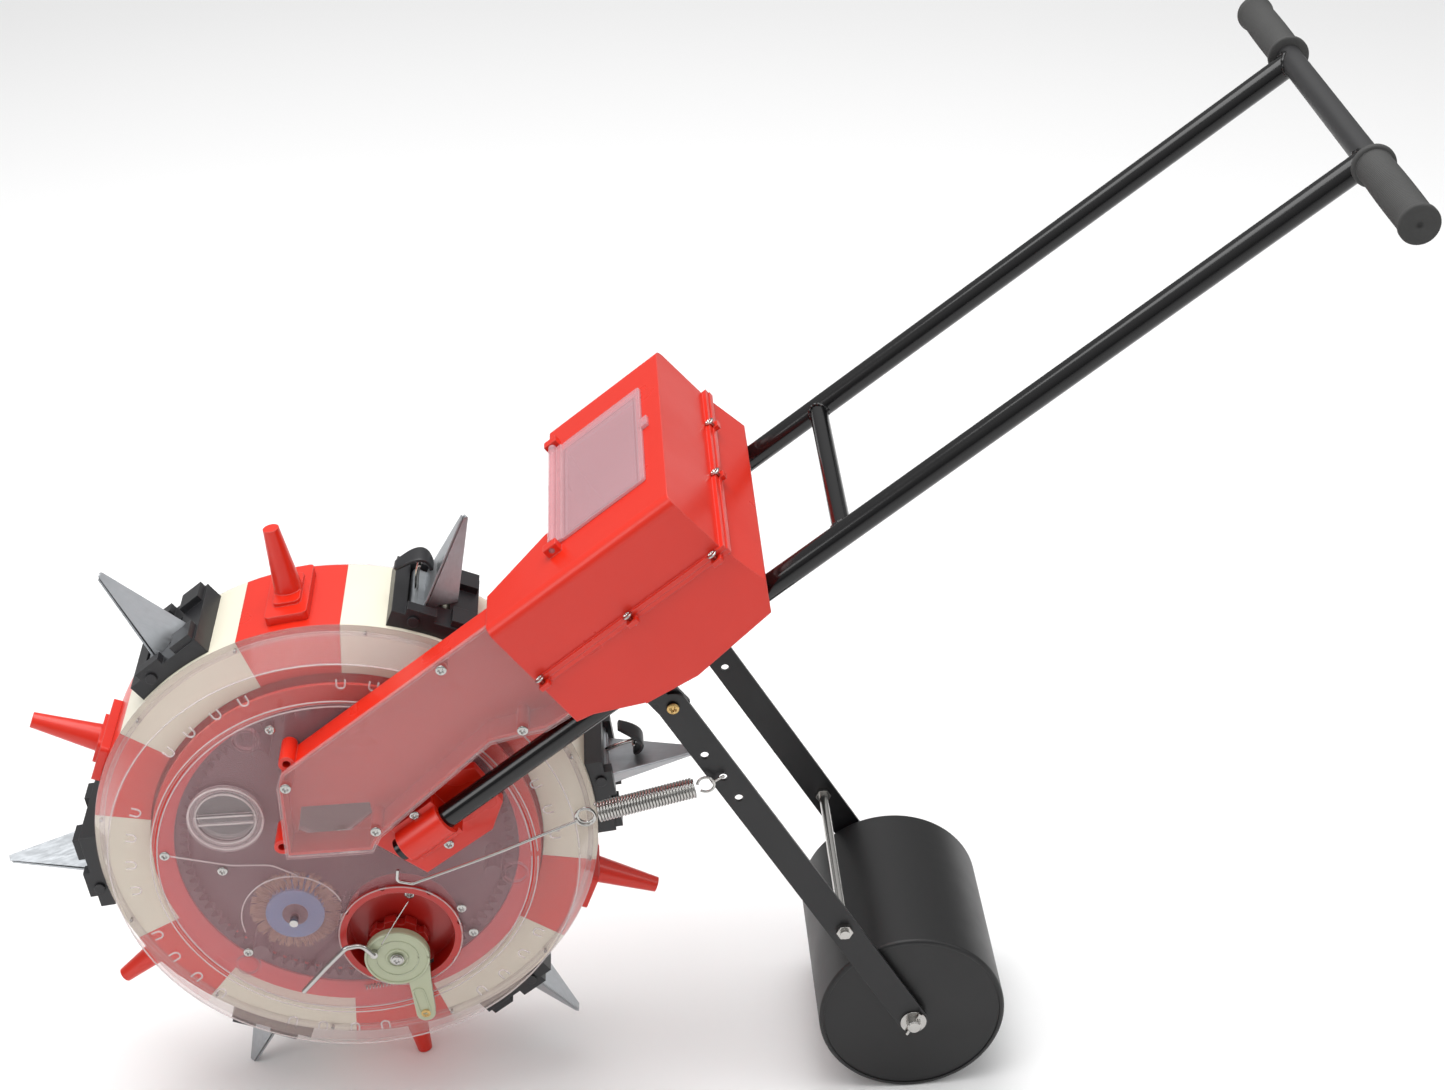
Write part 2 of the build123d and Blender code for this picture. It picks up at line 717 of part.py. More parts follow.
CROSSBAR_CUTTER = rod(crossways(CROSSBAR_S, TUBE_T, CROSSBAR_HALF), TUBE_R + 0.05, 2 * CROSSBAR_HALF)
for sign, name in ((-1, "handle_tube_near"), (1, "handle_tube_far")):
    with BuildPart() as tube:
        with BuildSketch(tube_axis(sign, TUBE_START)):
            Circle(TUBE_R)
            Circle(TUBE_BORE_R, mode=Mode.SUBTRACT)
        extrude(amount=CROSSBAR_S - TUBE_START)
        add(CROSSBAR_CUTTER, mode=Mode.SUBTRACT)
        with BuildSketch(tube_axis(sign, TUBE_START)):
            Circle(TUBE_BORE_R)
        extrude(amount=3)
    keep(tube.part, name)

with BuildPart() as crossbar:
    with BuildSketch(crossways(CROSSBAR_S, TUBE_T, CROSSBAR_HALF)):
        Circle(TUBE_R)
        Circle(TUBE_BORE_R, mode=Mode.SUBTRACT)
    extrude(amount=2 * CROSSBAR_HALF)
keep(crossbar.part, "crossbar")

with BuildPart() as brace:
    with BuildSketch(crossways(BRACE_S, TUBE_T, TUBE_Y)):
        Circle(7.5)
        Circle(6.3, mode=Mode.SUBTRACT)
    extrude(amount=2 * TUBE_Y)
    for sign in (-1, 1):
        add(rod(tube_axis(sign, BRACE_S - 40), TUBE_R + 0.05, 80), mode=Mode.SUBTRACT)
keep(brace.part, "cross_brace")

GRIP_END = 4.0  # rubber past the end of the bar
GRIP_RING = 6.0  # width of the raised ring at each grip's inner end
GRIP_FLARE = 5.0  # width of the thicker band at its outer end
for sign, name in ((-1, "grip_near"), (1, "grip_far")):
    inner = CROSSBAR_HALF - GRIP_LENGTH
    tip = CROSSBAR_HALF + GRIP_END
    with BuildPart() as grip:
        with BuildSketch(crossways(CROSSBAR_S, TUBE_T, -inner if sign < 0 else tip)):
            Circle(GRIP_R)
        extrude(amount=GRIP_LENGTH + GRIP_END)
        with BuildSketch(crossways(CROSSBAR_S, TUBE_T, -inner if sign < 0 else inner + GRIP_RING)):
            Circle(GRIP_R + 3)
        extrude(amount=GRIP_RING)
        with BuildSketch(crossways(CROSSBAR_S, TUBE_T, GRIP_FLARE - tip if sign < 0 else tip)):
            Circle(GRIP_R + 1)
        extrude(amount=GRIP_FLARE)
        with BuildSketch(crossways(CROSSBAR_S, TUBE_T, 1.5 - tip if sign < 0 else tip)):
            Circle(3)
        extrude(amount=1.5, mode=Mode.SUBTRACT)
        with BuildSketch(crossways(CROSSBAR_S, TUBE_T, 0.5 - inner if sign < 0 else CROSSBAR_HALF + 0.02)):
            Circle(TUBE_R + 0.02)
        extrude(amount=GRIP_LENGTH + 0.52, mode=Mode.SUBTRACT)
    keep(grip.part, name)

# ---------------------------------------------------------------- hopper
HOPPER_HALF = 128.0
WALL = 3.0
LID_T = 112.0
SEAM_T = 52.0
FRONT_S = 301.0
THROAT_S = 250.0
THROAT_Y = -76.0
FLOOR_T = 9.0
upper_side = [(FRONT_S, SEAM_T), (312, LID_T), (426, LID_T), (430, SEAM_T)]
upper_inside = [
    (FRONT_S + WALL, SEAM_T - 1),
    (312 + WALL, LID_T - WALL),
    (426 - WALL, LID_T - WALL),
    (427, SEAM_T - 1),
]
lower_side = [(FRONT_S, -16), (347, -22), (424, -14), (438, 10), (430, SEAM_T), (FRONT_S, SEAM_T)]
lower_inside = [
    (FRONT_S + WALL, FLOOR_T),
    (434, FLOOR_T),
    (435, 13),
    (427, SEAM_T + 1),
    (FRONT_S + WALL, SEAM_T + 1),
]
lower_under = [(FRONT_S + WALL, FLOOR_T - WALL), (434, FLOOR_T - WALL), (422, -30), (FRONT_S + WALL, -30)]
throat_side = [
    (THROAT_S, 6),
    (264, 3),
    (FRONT_S, -15),
    (FRONT_S + 10, -15),
    (FRONT_S + 10, SEAM_T),
    (THROAT_S, SEAM_T),
]
THROAT_END = (308.0, -46.0)  # where the throat's slanting wall meets the hopper's front, in s and Y
throat_plan = [
    (THROAT_S, -HOPPER_HALF),
    (THROAT_S, THROAT_Y),
    THROAT_END,
    (318, THROAT_END[1]),
    (318, -HOPPER_HALF),
]
throat_room = [
    (THROAT_S + WALL, WALL - HOPPER_HALF),
    (THROAT_S + WALL, THROAT_Y - WALL),
    (THROAT_END[0], THROAT_END[1] - WALL),
    (330, THROAT_END[1] - WALL),
    (330, WALL - HOPPER_HALF),
]
CHUTE_MOUTH = (78.0, 24.0)  # opening from the hopper's throat into the chute, in t and Y
MOUTH_Y = THROAT_Y - 7 - CHUTE_MOUTH[1] / 2

LID_FRONT = 320.0
LID_REAR = 408.0
LID_HALF = 78.0
HINGE_T = LID_T + 4.5
HINGE_R = 2.2

with BuildPart() as upper:
    with BuildSketch(handle(HOPPER_HALF)):
        Polygon(*upper_side, align=None)
    extrude(amount=2 * HOPPER_HALF)
    with BuildSketch(handle_top(SEAM_T)):
        Polygon(*throat_plan, align=None)
    extrude(amount=LID_T - SEAM_T)
    outer_edges = upper.edges().filter_by(lambda e: abs(e.center().Y) > HOPPER_HALF - 1)
    top_edges = [e for e in outer_edges if handle(0).to_local_coords(e.center()).Y > LID_T - 1]
    fillet(top_edges, radius=9)
    with BuildSketch(handle(HOPPER_HALF - WALL)):
        Polygon(*upper_inside, align=None)
    extrude(amount=2 * (HOPPER_HALF - WALL), mode=Mode.SUBTRACT)
    with BuildSketch(handle_top(SEAM_T - 1)):
        Polygon(*throat_room, align=None)
    extrude(amount=LID_T - SEAM_T + 1 - WALL, mode=Mode.SUBTRACT)
    with BuildSketch(handle_top(LID_T - 10)):
        with Locations(((LID_FRONT + LID_REAR) / 2, 0)):
            Rectangle(LID_REAR - LID_FRONT - 12, 2 * LID_HALF - 12)
    extrude(amount=20, mode=Mode.SUBTRACT)
    with BuildSketch(handle_top(LID_T - 0.5)):
        for end in (-1, 1):
            with Locations((LID_FRONT - 1, end * (LID_HALF + 7))):
                Rectangle(12, 9)
    extrude(amount=8.5)
    with BuildSketch(handle(LID_HALF + 20)):
        with Locations((LID_FRONT - 1, HINGE_T)):
            Circle(HINGE_R + 0.1)
    extrude(amount=2 * LID_HALF + 40, mode=Mode.SUBTRACT)
    with BuildSketch(handle_top(SEAM_T + 0.02)):
        with Locations((431.5, 0)):
            Rectangle(4, 2 * HOPPER_HALF + 6)
        for end in (-1, 1):
            with Locations((FRONT_S + 66, end * (HOPPER_HALF + 1.5))):
                Rectangle(133, 3)
        with Locations((THROAT_S + 27, -HOPPER_HALF - 1.5)):
            Rectangle(52, 3)
    extrude(amount=4)
    with BuildSketch(handle_top(SEAM_T - 2)):
        with Locations((THROAT_S - 1, MOUTH_Y)):
            Rectangle(12, CHUTE_MOUTH[1])
    extrude(amount=LID_T - SEAM_T - 8, mode=Mode.SUBTRACT)
keep(upper.part, "hopper_upper")

TUBE_ROOM = TUBE_R + 0.15


def cut_tubes():
    """Clear the two handle tubes out of the current part."""
    for sign in (-1, 1):
        add(rod(tube_axis(sign, TUBE_START - 30), TUBE_ROOM, 600), mode=Mode.SUBTRACT)


SCREW_LUG = 9.0
seam_lugs = [
    (THROAT_S + 6, -HOPPER_HALF - 5),
    (FRONT_S + 41, -HOPPER_HALF - 5),
    (FRONT_S + 122, -HOPPER_HALF - 5),
    (434, -16),
    (434, 70),
    (FRONT_S + 122, HOPPER_HALF + 5),
    (FRONT_S + 41, HOPPER_HALF + 5),
]
with BuildPart() as lower:
    with BuildSketch(handle(HOPPER_HALF)):
        Polygon(*lower_side, align=None)
    extrude(amount=2 * HOPPER_HALF)
    with BuildSketch(handle(THROAT_END[1])):
        Polygon(*throat_side, align=None)
    extrude(amount=HOPPER_HALF + THROAT_END[1])
    with BuildSketch(handle_top(-30)):
        Polygon((THROAT_S - 1, THROAT_Y), (THROAT_S - 1, -40), (FRONT_S, -40), (FRONT_S, -49.6), align=None)
    extrude(amount=SEAM_T + 31, mode=Mode.SUBTRACT)
    with BuildSketch(handle(HOPPER_HALF - WALL)):
        Polygon(*lower_inside, align=None)
    extrude(amount=2 * (HOPPER_HALF - WALL), mode=Mode.SUBTRACT)
    with BuildSketch(handle(HOPPER_HALF - WALL)):
        Polygon(*lower_under, align=None)
    extrude(amount=2 * (HOPPER_HALF - WALL), mode=Mode.SUBTRACT)
    with BuildSketch(handle_top(FLOOR_T)):
        Polygon(*throat_room, align=None)
    extrude(amount=SEAM_T - FLOOR_T + 1, mode=Mode.SUBTRACT)
    with BuildSketch(handle_top(FLOOR_T)):
        with Locations((THROAT_S - 1, MOUTH_Y)):
            Rectangle(12, CHUTE_MOUTH[1])
    extrude(amount=60, mode=Mode.SUBTRACT)
    with BuildSketch(handle_top(SEAM_T - 4)):
        with Locations((432, 0)):
            Rectangle(5, 2 * HOPPER_HALF + 6)
        for end in (-1, 1):
            with Locations((FRONT_S + 66, end * (HOPPER_HALF + 1.5))):
                Rectangle(133, 3)
        with Locations((THROAT_S + 27, -HOPPER_HALF - 1.5)):
            Rectangle(52, 3)
        for lug in seam_lugs:
            with Locations(lug):
                Rectangle(SCREW_LUG, SCREW_LUG)
    extrude(amount=4)
    for end in (-1, 1):
        with BuildSketch(handle_top(-30)):
            with Locations((302.5, end * 105)):
                Rectangle(36, 30)
        extrude(amount=35.9, mode=Mode.SUBTRACT)
    cut_tubes()
keep(lower.part, "hopper_lower")

seam_top = handle_top(SEAM_T + 4.1).location
screws("hopper_screws", [Plane(seam_top * Location((*lug, 0))) for lug in seam_lugs])

with BuildPart() as lid:
    with BuildSketch(handle_top(LID_T + 0.3)):
        with Locations(((LID_FRONT + LID_REAR) / 2 + 3, 0)):
            RectangleRounded(LID_REAR - LID_FRONT - 6, 2 * LID_HALF, 3)
    extrude(amount=2.4)
    with BuildSketch(handle_top(LID_T - 3)):
        with Locations(((LID_FRONT + LID_REAR) / 2, 0)):
            Rectangle(LID_REAR - LID_FRONT - 14, 2 * LID_HALF - 14)
            Rectangle(LID_REAR - LID_FRONT - 18, 2 * LID_HALF - 18, mode=Mode.SUBTRACT)
    extrude(amount=3.5)
    with BuildSketch(handle(LID_HALF)):
        with Locations((LID_FRONT - 1, HINGE_T)):
            Circle(HINGE_R + 1.2)
        with Locations((LID_FRONT + 3, LID_T + 2.3)):
            Rectangle(8, 2.4)
    extrude(amount=2 * LID_HALF)
    with BuildSketch(handle_top(LID_T + 0.3)):
        with Locations((LID_REAR + 2, 12)):
            Rectangle(8, 14)
    extrude(amount=3)
    with BuildSketch(handle(LID_HALF + 11)):
        with Locations((LID_FRONT - 1, HINGE_T)):
            Circle(HINGE_R)
    extrude(amount=2 * LID_HALF + 22)
keep(lid.part, "hopper_lid")

# ---------------------------------------------------------------- seed chute and its cover
CHUTE_BACK = -84.0
CHUTE_NEAR = -112.0
CHUTE_WALL = 2.5
chute_outline = [
    (-12, 50),
    (28, 103),
    (38, 110),
    (249.5, 108),
    (249.5, 7),
    (222, 9),
    (208, 16),
    (181, 28),
    (56, 18),
    (42, 11),
]
with BuildPart() as chute:
    with BuildSketch(handle(CHUTE_BACK)):
        Polygon(*chute_outline, align=None)
    extrude(amount=CHUTE_BACK - CHUTE_NEAR)
    with BuildSketch(handle(CHUTE_BACK - CHUTE_WALL)):
        Polygon(*chute_outline, align=None)
        offset(amount=-CHUTE_WALL, mode=Mode.REPLACE)
    extrude(amount=40, mode=Mode.SUBTRACT)
    with BuildSketch(handle(CHUTE_BACK + 1)):
        Polygon(*WINDOW, align=None)
        with Locations((249, 56)):
            Rectangle(10, 86, mode=Mode.ADD)
    extrude(amount=3.6, mode=Mode.SUBTRACT)
    with BuildSketch(handle(CHUTE_BACK - CHUTE_WALL)):
        with Locations((249, 58)):
            Rectangle(10, 88)
    extrude(amount=22, mode=Mode.SUBTRACT)
    chute_bosses = [(46, 113.5), (-11, 58)]
    with BuildSketch(handle(-DISH_Y - 0.02)):
        with Locations(*chute_bosses):
            Circle(6.5)
            Circle(3.2, mode=Mode.SUBTRACT)
    extrude(amount=29)
    chute_screw_points = [(33, 100), (197, 103), (208, 21), (58, 24)]
    with BuildSketch(handle(CHUTE_BACK)):
        with Locations(*chute_screw_points):
            Circle(5)
    extrude(amount=CHUTE_BACK - CHUTE_NEAR)
    with BuildSketch(handle(-DISH_Y - 0.02)):
        with Locations((20, 90), (66, 24), (110, 60)):
            Circle(5)
    extrude(amount=4)
keep(chute.part, "seed_chute")

cover_outline = [(min(s, THROAT_S - 2.5), t) for s, t in chute_outline]
with BuildPart() as cover:
    with BuildSketch(handle(CHUTE_NEAR - 0.02)):
        Polygon(*cover_outline, align=None)
        offset(amount=1.5, kind=Kind.ARC)
    extrude(amount=2.4)
    with BuildSketch(handle(CHUTE_NEAR - 2.4)):
        Polygon(*cover_outline, align=None)
        offset(amount=1.5, kind=Kind.ARC)
        offset(amount=-2.2, mode=Mode.SUBTRACT)
    extrude(amount=1.2)
keep(cover.part, "chute_cover")
screws("chute_screws", [crossways(*point, CHUTE_NEAR - 3.7) for point in chute_screw_points])

# ---------------------------------------------------------------- clamps that hold the tubes to the fixed discs
saddle_plate = [(34, 8), (48, -46), (116, -48), (140, -33), (144, 6), (128, 16), (98, 16), (60, 14)]
saddle_block = [(62, 12), (62, -26), (104, -26), (104, 12)]
clamp_screw_points = [(86, 10.5), (80, -36), (130, -20)]
with BuildPart() as saddles:
    for sign in (-1, 1):
        face = DISH_Y + 0.02
        with BuildSketch(handle(-face if sign < 0 else face + 9)):
            Polygon(*saddle_plate, align=None)
        extrude(amount=9)
        with BuildSketch(handle(-face if sign < 0 else face + 24)):
            Polygon(*saddle_block, align=None)
        extrude(amount=24)
        with BuildSketch(tube_axis(sign, 62)):
            Circle(TUBE_R + 5)
        extrude(amount=42)
    cut_tubes()
    with BuildSketch(side(AXLE_FAR + 6)):
        Circle(17)
    extrude(amount=12, mode=Mode.SUBTRACT)
keep(saddles.part, "tube_clamps")
screws(
    "clamp_screws",
    [crossways(*point, -DISH_Y - 9.2) for point in clamp_screw_points[1:]]
    + [crossways(clamp_screw_points[0][0], clamp_screw_points[0][1], -DISH_Y - 24.2)],
    head_r=3.6,
)

# ---------------------------------------------------------------- press roller and its sprung arms
PIVOT = (271.5, 142.1)
STOP = (258.1, 158.5)
HOOK_HOLES = [(294.5, 95.0), (308.4, 73.0), (320.2, 52.0)]
STRUT = (403.0, -87.0)
ROLLER_AT = (ROLLER_X, ROLLER_R - AXLE_Z)
ARM_HALF = 12.5
ARM_SWING = 20.0
arm_length = hypot(ROLLER_AT[0] - PIVOT[0], ROLLER_AT[1] - PIVOT[1])
arm_angle = degrees(acos((ROLLER_AT[0] - PIVOT[0]) / arm_length))
stop_r = hypot(STOP[0] - PIVOT[0], STOP[1] - PIVOT[1])
stop_angle = 180 - degrees(acos((PIVOT[0] - STOP[0]) / stop_r))
arm_middle = along(PIVOT, arm_length / 2, -arm_angle)
for sign, name in ((-1, "press_arm_near"), (1, "press_arm_far")):
    with BuildPart() as arm:
        with BuildSketch(side(-ARM_Y + ARM_T if sign < 0 else ARM_Y)):
            with Locations(arm_middle):
                SlotCenterToCenter(arm_length, 2 * ARM_HALF, rotation=-arm_angle)
            with Locations(along(PIVOT, stop_r / 2 - 2, stop_angle + 8)):
                SlotCenterToCenter(stop_r, 13, rotation=stop_angle + 8)
            with Locations(*HOOK_HOLES):
                Circle(3.4, mode=Mode.SUBTRACT)
            with Locations(PIVOT):
                Circle(4 + RUN_GAP, mode=Mode.SUBTRACT)
            with Locations(STRUT):
                Circle(4.1, mode=Mode.SUBTRACT)
            with Locations(ROLLER_AT):
                Circle(6.05, mode=Mode.SUBTRACT)
            for swing in range(0, int(ARM_SWING) + 1, 2):
                with Locations(along(PIVOT, stop_r, stop_angle - swing)):
                    Circle(3.3, mode=Mode.SUBTRACT)
        extrude(amount=ARM_T)
    keep(arm.part, name)

with BuildPart() as strut:
    with BuildSketch(side(ARM_Y + 8)):
        with Locations(STRUT):
            Circle(4)
    extrude(amount=2 * ARM_Y + 16)
    for inner in (ARM_Y + 5.1, ARM_Y - ARM_T - 0.1, -ARM_Y - 0.1, ARM_T - ARM_Y + 5.1):
        with BuildSketch(side(inner)):
            with Locations(STRUT):
                RegularPolygon(radius=7, side_count=6)
        extrude(amount=5)
keep(strut.part, "strut_rod")

with BuildPart() as roller_axle:
    with BuildSketch(side(ARM_Y + 9)):
        with Locations(ROLLER_AT):
            Circle(6)
    extrude(amount=2 * ARM_Y + 18)
    chamfer(roller_axle.edges().filter_by(GeomType.CIRCLE), length=1)
keep(roller_axle.part, "roller_axle")

with BuildPart() as washers:
    for face in (ARM_Y + 1.7, -ARM_Y - 0.1, ARM_Y - ARM_T - 0.1, ARM_T - ARM_Y + 1.7):
        with BuildSketch(side(face)):
            with Locations(ROLLER_AT):
                Circle(11)
                Circle(6.1, mode=Mode.SUBTRACT)
        extrude(amount=1.6)
    for sign in (-1, 1):
        pin_at = side(sign * (ARM_Y + 4)).from_local_coords((ROLLER_AT[0], ROLLER_AT[1], 0))
        with BuildSketch(Plane(origin=pin_at, z_dir=(0.5, 0, 0.866))):
            Circle(1.4)
        extrude(amount=12, both=True)
keep(washers.part, "axle_washers_and_pins")

with BuildPart() as shell:
    with BuildSketch(side(ROLLER_HALF)):
        with Locations(ROLLER_AT):
            Circle(ROLLER_R)
    extrude(amount=2 * ROLLER_HALF)
    fillet(shell.edges().filter_by(GeomType.CIRCLE), radius=3)
    with BuildSketch(side(ROLLER_HALF + 1)):
        with Locations(ROLLER_AT):
            Circle(ROLLER_R - 4)
    extrude(amount=2 * ROLLER_HALF + 2, mode=Mode.SUBTRACT)
keep(shell.part, "roller_shell")

with BuildPart() as roller_ends:
    for face in (ROLLER_HALF - 1, 3 - ROLLER_HALF):
        with BuildSketch(side(face)):
            with Locations(ROLLER_AT):
                Circle(ROLLER_R - 4.02)
                Circle(6 + RUN_GAP, mode=Mode.SUBTRACT)
        extrude(amount=2)
    with BuildSketch(side(ROLLER_HALF - 2)):
        with Locations(ROLLER_AT):
            Circle(12)
            Circle(6 + RUN_GAP, mode=Mode.SUBTRACT)
    extrude(amount=2 * ROLLER_HALF - 4)
keep(roller_ends.part, "roller_ends")

BRACKET_T = 4.0
bracket_plate = [(289, -16), (315, -16), (315, -54), (309, -60), (296, -60), (289, -54)]
with BuildPart() as brackets:
    for sign in (-1, 1):
        inner_face = ARM_Y - ARM_T - 0.4
        with BuildSketch(handle(-inner_face + BRACKET_T if sign < 0 else inner_face)):
            Polygon(*bracket_plate, align=None)
        extrude(amount=BRACKET_T)
        with BuildSketch(tube_axis(sign, 289)):
            Circle(TUBE_R + 3)
        extrude(amount=26)
    cut_tubes()
keep(brackets.part, "arm_brackets")

with BuildPart() as pivots:
    for sign in (-1, 1):
        outer = ARM_Y + 0.5
        for centre, head_r, shank_r in ((PIVOT, 8, 4), (STOP, 6, 3)):
            with BuildSketch(side(-outer if sign < 0 else outer + 3)):
                with Locations(centre):
                    Circle(head_r)
            extrude(amount=3)
            with BuildSketch(side(-outer + 8.5 if sign < 0 else outer + 1)):
                with Locations(centre):
                    Circle(shank_r)
            extrude(amount=9.5)
keep(pivots.part, "arm_screws")

# ---------------------------------------------------------------- tension spring and its hook rod
SPRING_Y = -104.0
SPRING_FROM = (205.4, 50.5)
SPRING_TO = (286.6, 69.2)
SPRING_R = 8.5
WIRE_R = 1.3
with BuildPart() as spring:
    start = side(SPRING_Y).from_local_coords((*SPRING_FROM, 0))
    end = side(SPRING_Y).from_local_coords((*SPRING_TO, 0))
    lay = (end - start).normalized()
    with BuildSketch(Plane(origin=start, z_dir=lay)):
        Circle(SPRING_R)
        Circle(SPRING_R - 2.2, mode=Mode.SUBTRACT)
    extrude(amount=(end - start).length)
keep(spring.part, "tension_spring")

hook_route = [
    (45.8, 16.0, -117.0),
    (44.0, 5.0, -117.0),
    (56.0, 1.5, -117.0),
    (120.0, 21.5, -113.0),
    (190.5, 43.5, SPRING_Y),
]
with BuildPart() as hook_rod:
    with BuildLine() as hook_line:
        FilletPolyline(*[side(y).from_local_coords((x, z, 0)) for x, z, y in hook_route], radius=3.5)
    with BuildSketch(Plane(origin=hook_line.line @ 0, z_dir=hook_line.line % 0)):
        Circle(WIRE_R)
    sweep()
keep(hook_rod.part, "hook_rod")
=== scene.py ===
import json

import bmesh
import bpy
import numpy as np
from mathutils import Matrix, Vector


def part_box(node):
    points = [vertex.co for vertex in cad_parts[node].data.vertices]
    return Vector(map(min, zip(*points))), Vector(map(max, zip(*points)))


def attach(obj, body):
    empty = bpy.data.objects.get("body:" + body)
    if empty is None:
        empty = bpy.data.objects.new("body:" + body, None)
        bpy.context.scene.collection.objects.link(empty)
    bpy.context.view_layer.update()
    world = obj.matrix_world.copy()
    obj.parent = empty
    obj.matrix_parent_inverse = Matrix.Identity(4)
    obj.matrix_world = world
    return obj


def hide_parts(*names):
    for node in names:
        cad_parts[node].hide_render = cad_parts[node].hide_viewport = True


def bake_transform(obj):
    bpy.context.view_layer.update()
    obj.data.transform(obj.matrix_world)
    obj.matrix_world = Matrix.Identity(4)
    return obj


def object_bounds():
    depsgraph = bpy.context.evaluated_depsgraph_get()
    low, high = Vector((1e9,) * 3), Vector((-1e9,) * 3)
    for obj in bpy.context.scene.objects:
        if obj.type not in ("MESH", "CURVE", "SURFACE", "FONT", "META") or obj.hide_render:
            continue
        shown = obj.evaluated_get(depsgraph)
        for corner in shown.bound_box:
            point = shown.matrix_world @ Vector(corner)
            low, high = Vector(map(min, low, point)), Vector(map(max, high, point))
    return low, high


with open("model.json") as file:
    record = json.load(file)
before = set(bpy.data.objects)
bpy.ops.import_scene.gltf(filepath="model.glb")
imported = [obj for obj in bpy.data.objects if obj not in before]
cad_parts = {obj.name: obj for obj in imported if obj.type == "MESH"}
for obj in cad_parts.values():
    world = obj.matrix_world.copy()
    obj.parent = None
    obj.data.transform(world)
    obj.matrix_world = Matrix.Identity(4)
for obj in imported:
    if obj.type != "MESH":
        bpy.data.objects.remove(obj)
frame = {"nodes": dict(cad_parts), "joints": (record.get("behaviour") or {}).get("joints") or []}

cad_box = [list(corner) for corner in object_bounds()]
nodes = frame["nodes"]


# ---- Drum rim ------------------------------------------------------------------------------
# Twelve channel-shaped segments of injection-moulded plastic, red under the pegs and cream
# under the duckbills, screwed between the clear sides. Moulding leaves a faint orange-peel
# skin and slightly rounded corners.

def new_group(name, inputs, outputs):
    """An empty shader group with the named sockets. Each input is (name, kind, default)."""
    group = bpy.data.node_groups.new(name, "ShaderNodeTree")
    for label, kind, default in inputs:
        socket = group.interface.new_socket(label, in_out="INPUT", socket_type="NodeSocket" + kind)
        socket.default_value = default
    for label, kind in outputs:
        group.interface.new_socket(label, in_out="OUTPUT", socket_type="NodeSocket" + kind)
    return group, group.nodes.new("NodeGroupInput"), group.nodes.new("NodeGroupOutput")


def add_node(tree, kind, settings=None, sockets=None):
    """A shader node with its settings, and its input sockets set or linked by name or number."""
    node = tree.nodes.new("ShaderNode" + kind)
    for key, value in (settings or {}).items():
        setattr(node, key, value)
    for key, value in (sockets or {}).items():
        socket = node.inputs[key]
        if isinstance(value, bpy.types.NodeSocket):
            tree.links.new(value, socket)
        else:
            socket.default_value = value
    return node


def plastic_skin_group():
    """Orange peel and slow colour drift: a fine and a coarse noise in object space. The bump
    starts from a normal that is rounded over the edges, and that rounding also masks them
    for a painted highlight that screens the edges towards pale grey."""
    inputs = [
        ("Color", "Color", (0.5, 0.5, 0.5, 1)),
        ("Peel Scale", "Float", 300.0),
        ("Peel Depth", "Float", 0.1),
        ("Edge Radius", "Float", 0.001),
        ("Edge Lift", "Float", 0.15),
    ]
    outputs = [("Color", "Color"), ("Roughness Drift", "Float"), ("Edge", "Float"), ("Normal", "Vector")]
    group, entry, leave = new_group("moulded_plastic_skin", inputs, outputs)
    place = add_node(group, "TexCoord").outputs["Object"]
    rounded = add_node(group, "Bevel", {"samples": 4}, {0: entry.outputs["Edge Radius"]})
    flat = add_node(group, "NewGeometry").outputs["Normal"]
    facing = add_node(group, "VectorMath", {"operation": "DOT_PRODUCT"}, {0: rounded.outputs[0], 1: flat})
    edge = add_node(group, "MapRange", None, {0: facing.outputs["Value"], 1: 0.99, 2: 0.8, 3: 0.0, 4: 1.0})
    peel = add_node(group, "TexNoise", None, {0: place, 2: entry.outputs["Peel Scale"], 3: 2.0})
    drift = add_node(group, "TexNoise", None, {0: place, 2: 14.0, 3: 3.0})
    bump = add_node(group, "Bump", None, {0: entry.outputs["Peel Depth"], 1: 0.0004})
    normal_at = bump.inputs["Normal"]
    group.links.new(rounded.outputs[0], normal_at)
    group.links.new(peel.outputs[0], bump.inputs["Height"])
    darker = add_node(group, "HueSaturation", None, {2: 0.90, 4: entry.outputs["Color"]})
    base = add_node(group, "Mix", {"data_type": "RGBA"}, {0: drift.outputs[0],
                    6: entry.outputs["Color"], 7: darker.outputs[0]})
    # Painted highlight: the rounded edges are screened towards pale grey, as strongly as the edge input
    # asks.
    highlight_amount = add_node(group, "Math", {"operation": "MULTIPLY"},
                    {0: edge.outputs[0], 1: entry.outputs["Edge Lift"]})
    highlighted_colour = add_node(group, "Mix", {"data_type": "RGBA", "blend_type": "SCREEN"}, {0: highlight_amount.outputs[0],
                       6: base.outputs[2], 7: (0.6, 0.6, 0.6, 1)})
    group.links.new(highlighted_colour.outputs[2], leave.inputs["Color"])
    group.links.new(drift.outputs[0], leave.inputs["Roughness Drift"])
    group.links.new(edge.outputs[0], leave.inputs["Edge"])
    group.links.new(bump.outputs[0], leave.inputs["Normal"])
    return group


plastic_skin = plastic_skin_group()


def use_group(tree, group, **values):
    """The group placed in a material, with its inputs set by name (an underscore for a space)."""
    node = tree.nodes.new("ShaderNodeGroup")
    node.node_tree = group
    for key, value in values.items():
        node.inputs[key.replace("_", " ")].default_value = value
    return node


def new_material(name):
    """A material with its Principled shader, and that shader's links ready to make."""
    material = bpy.data.materials.new(name)
    material.use_nodes = True
    tree = material.node_tree
    return material, tree, tree.nodes["Principled BSDF"]


def wear_band(tree, source, low, high):
    """A value between low and high that follows a 0 to 1 drift."""
    return add_node(tree, "MapRange", None, {0: source, 1: 0.25, 2: 0.75, 3: low, 4: high}).outputs[0]
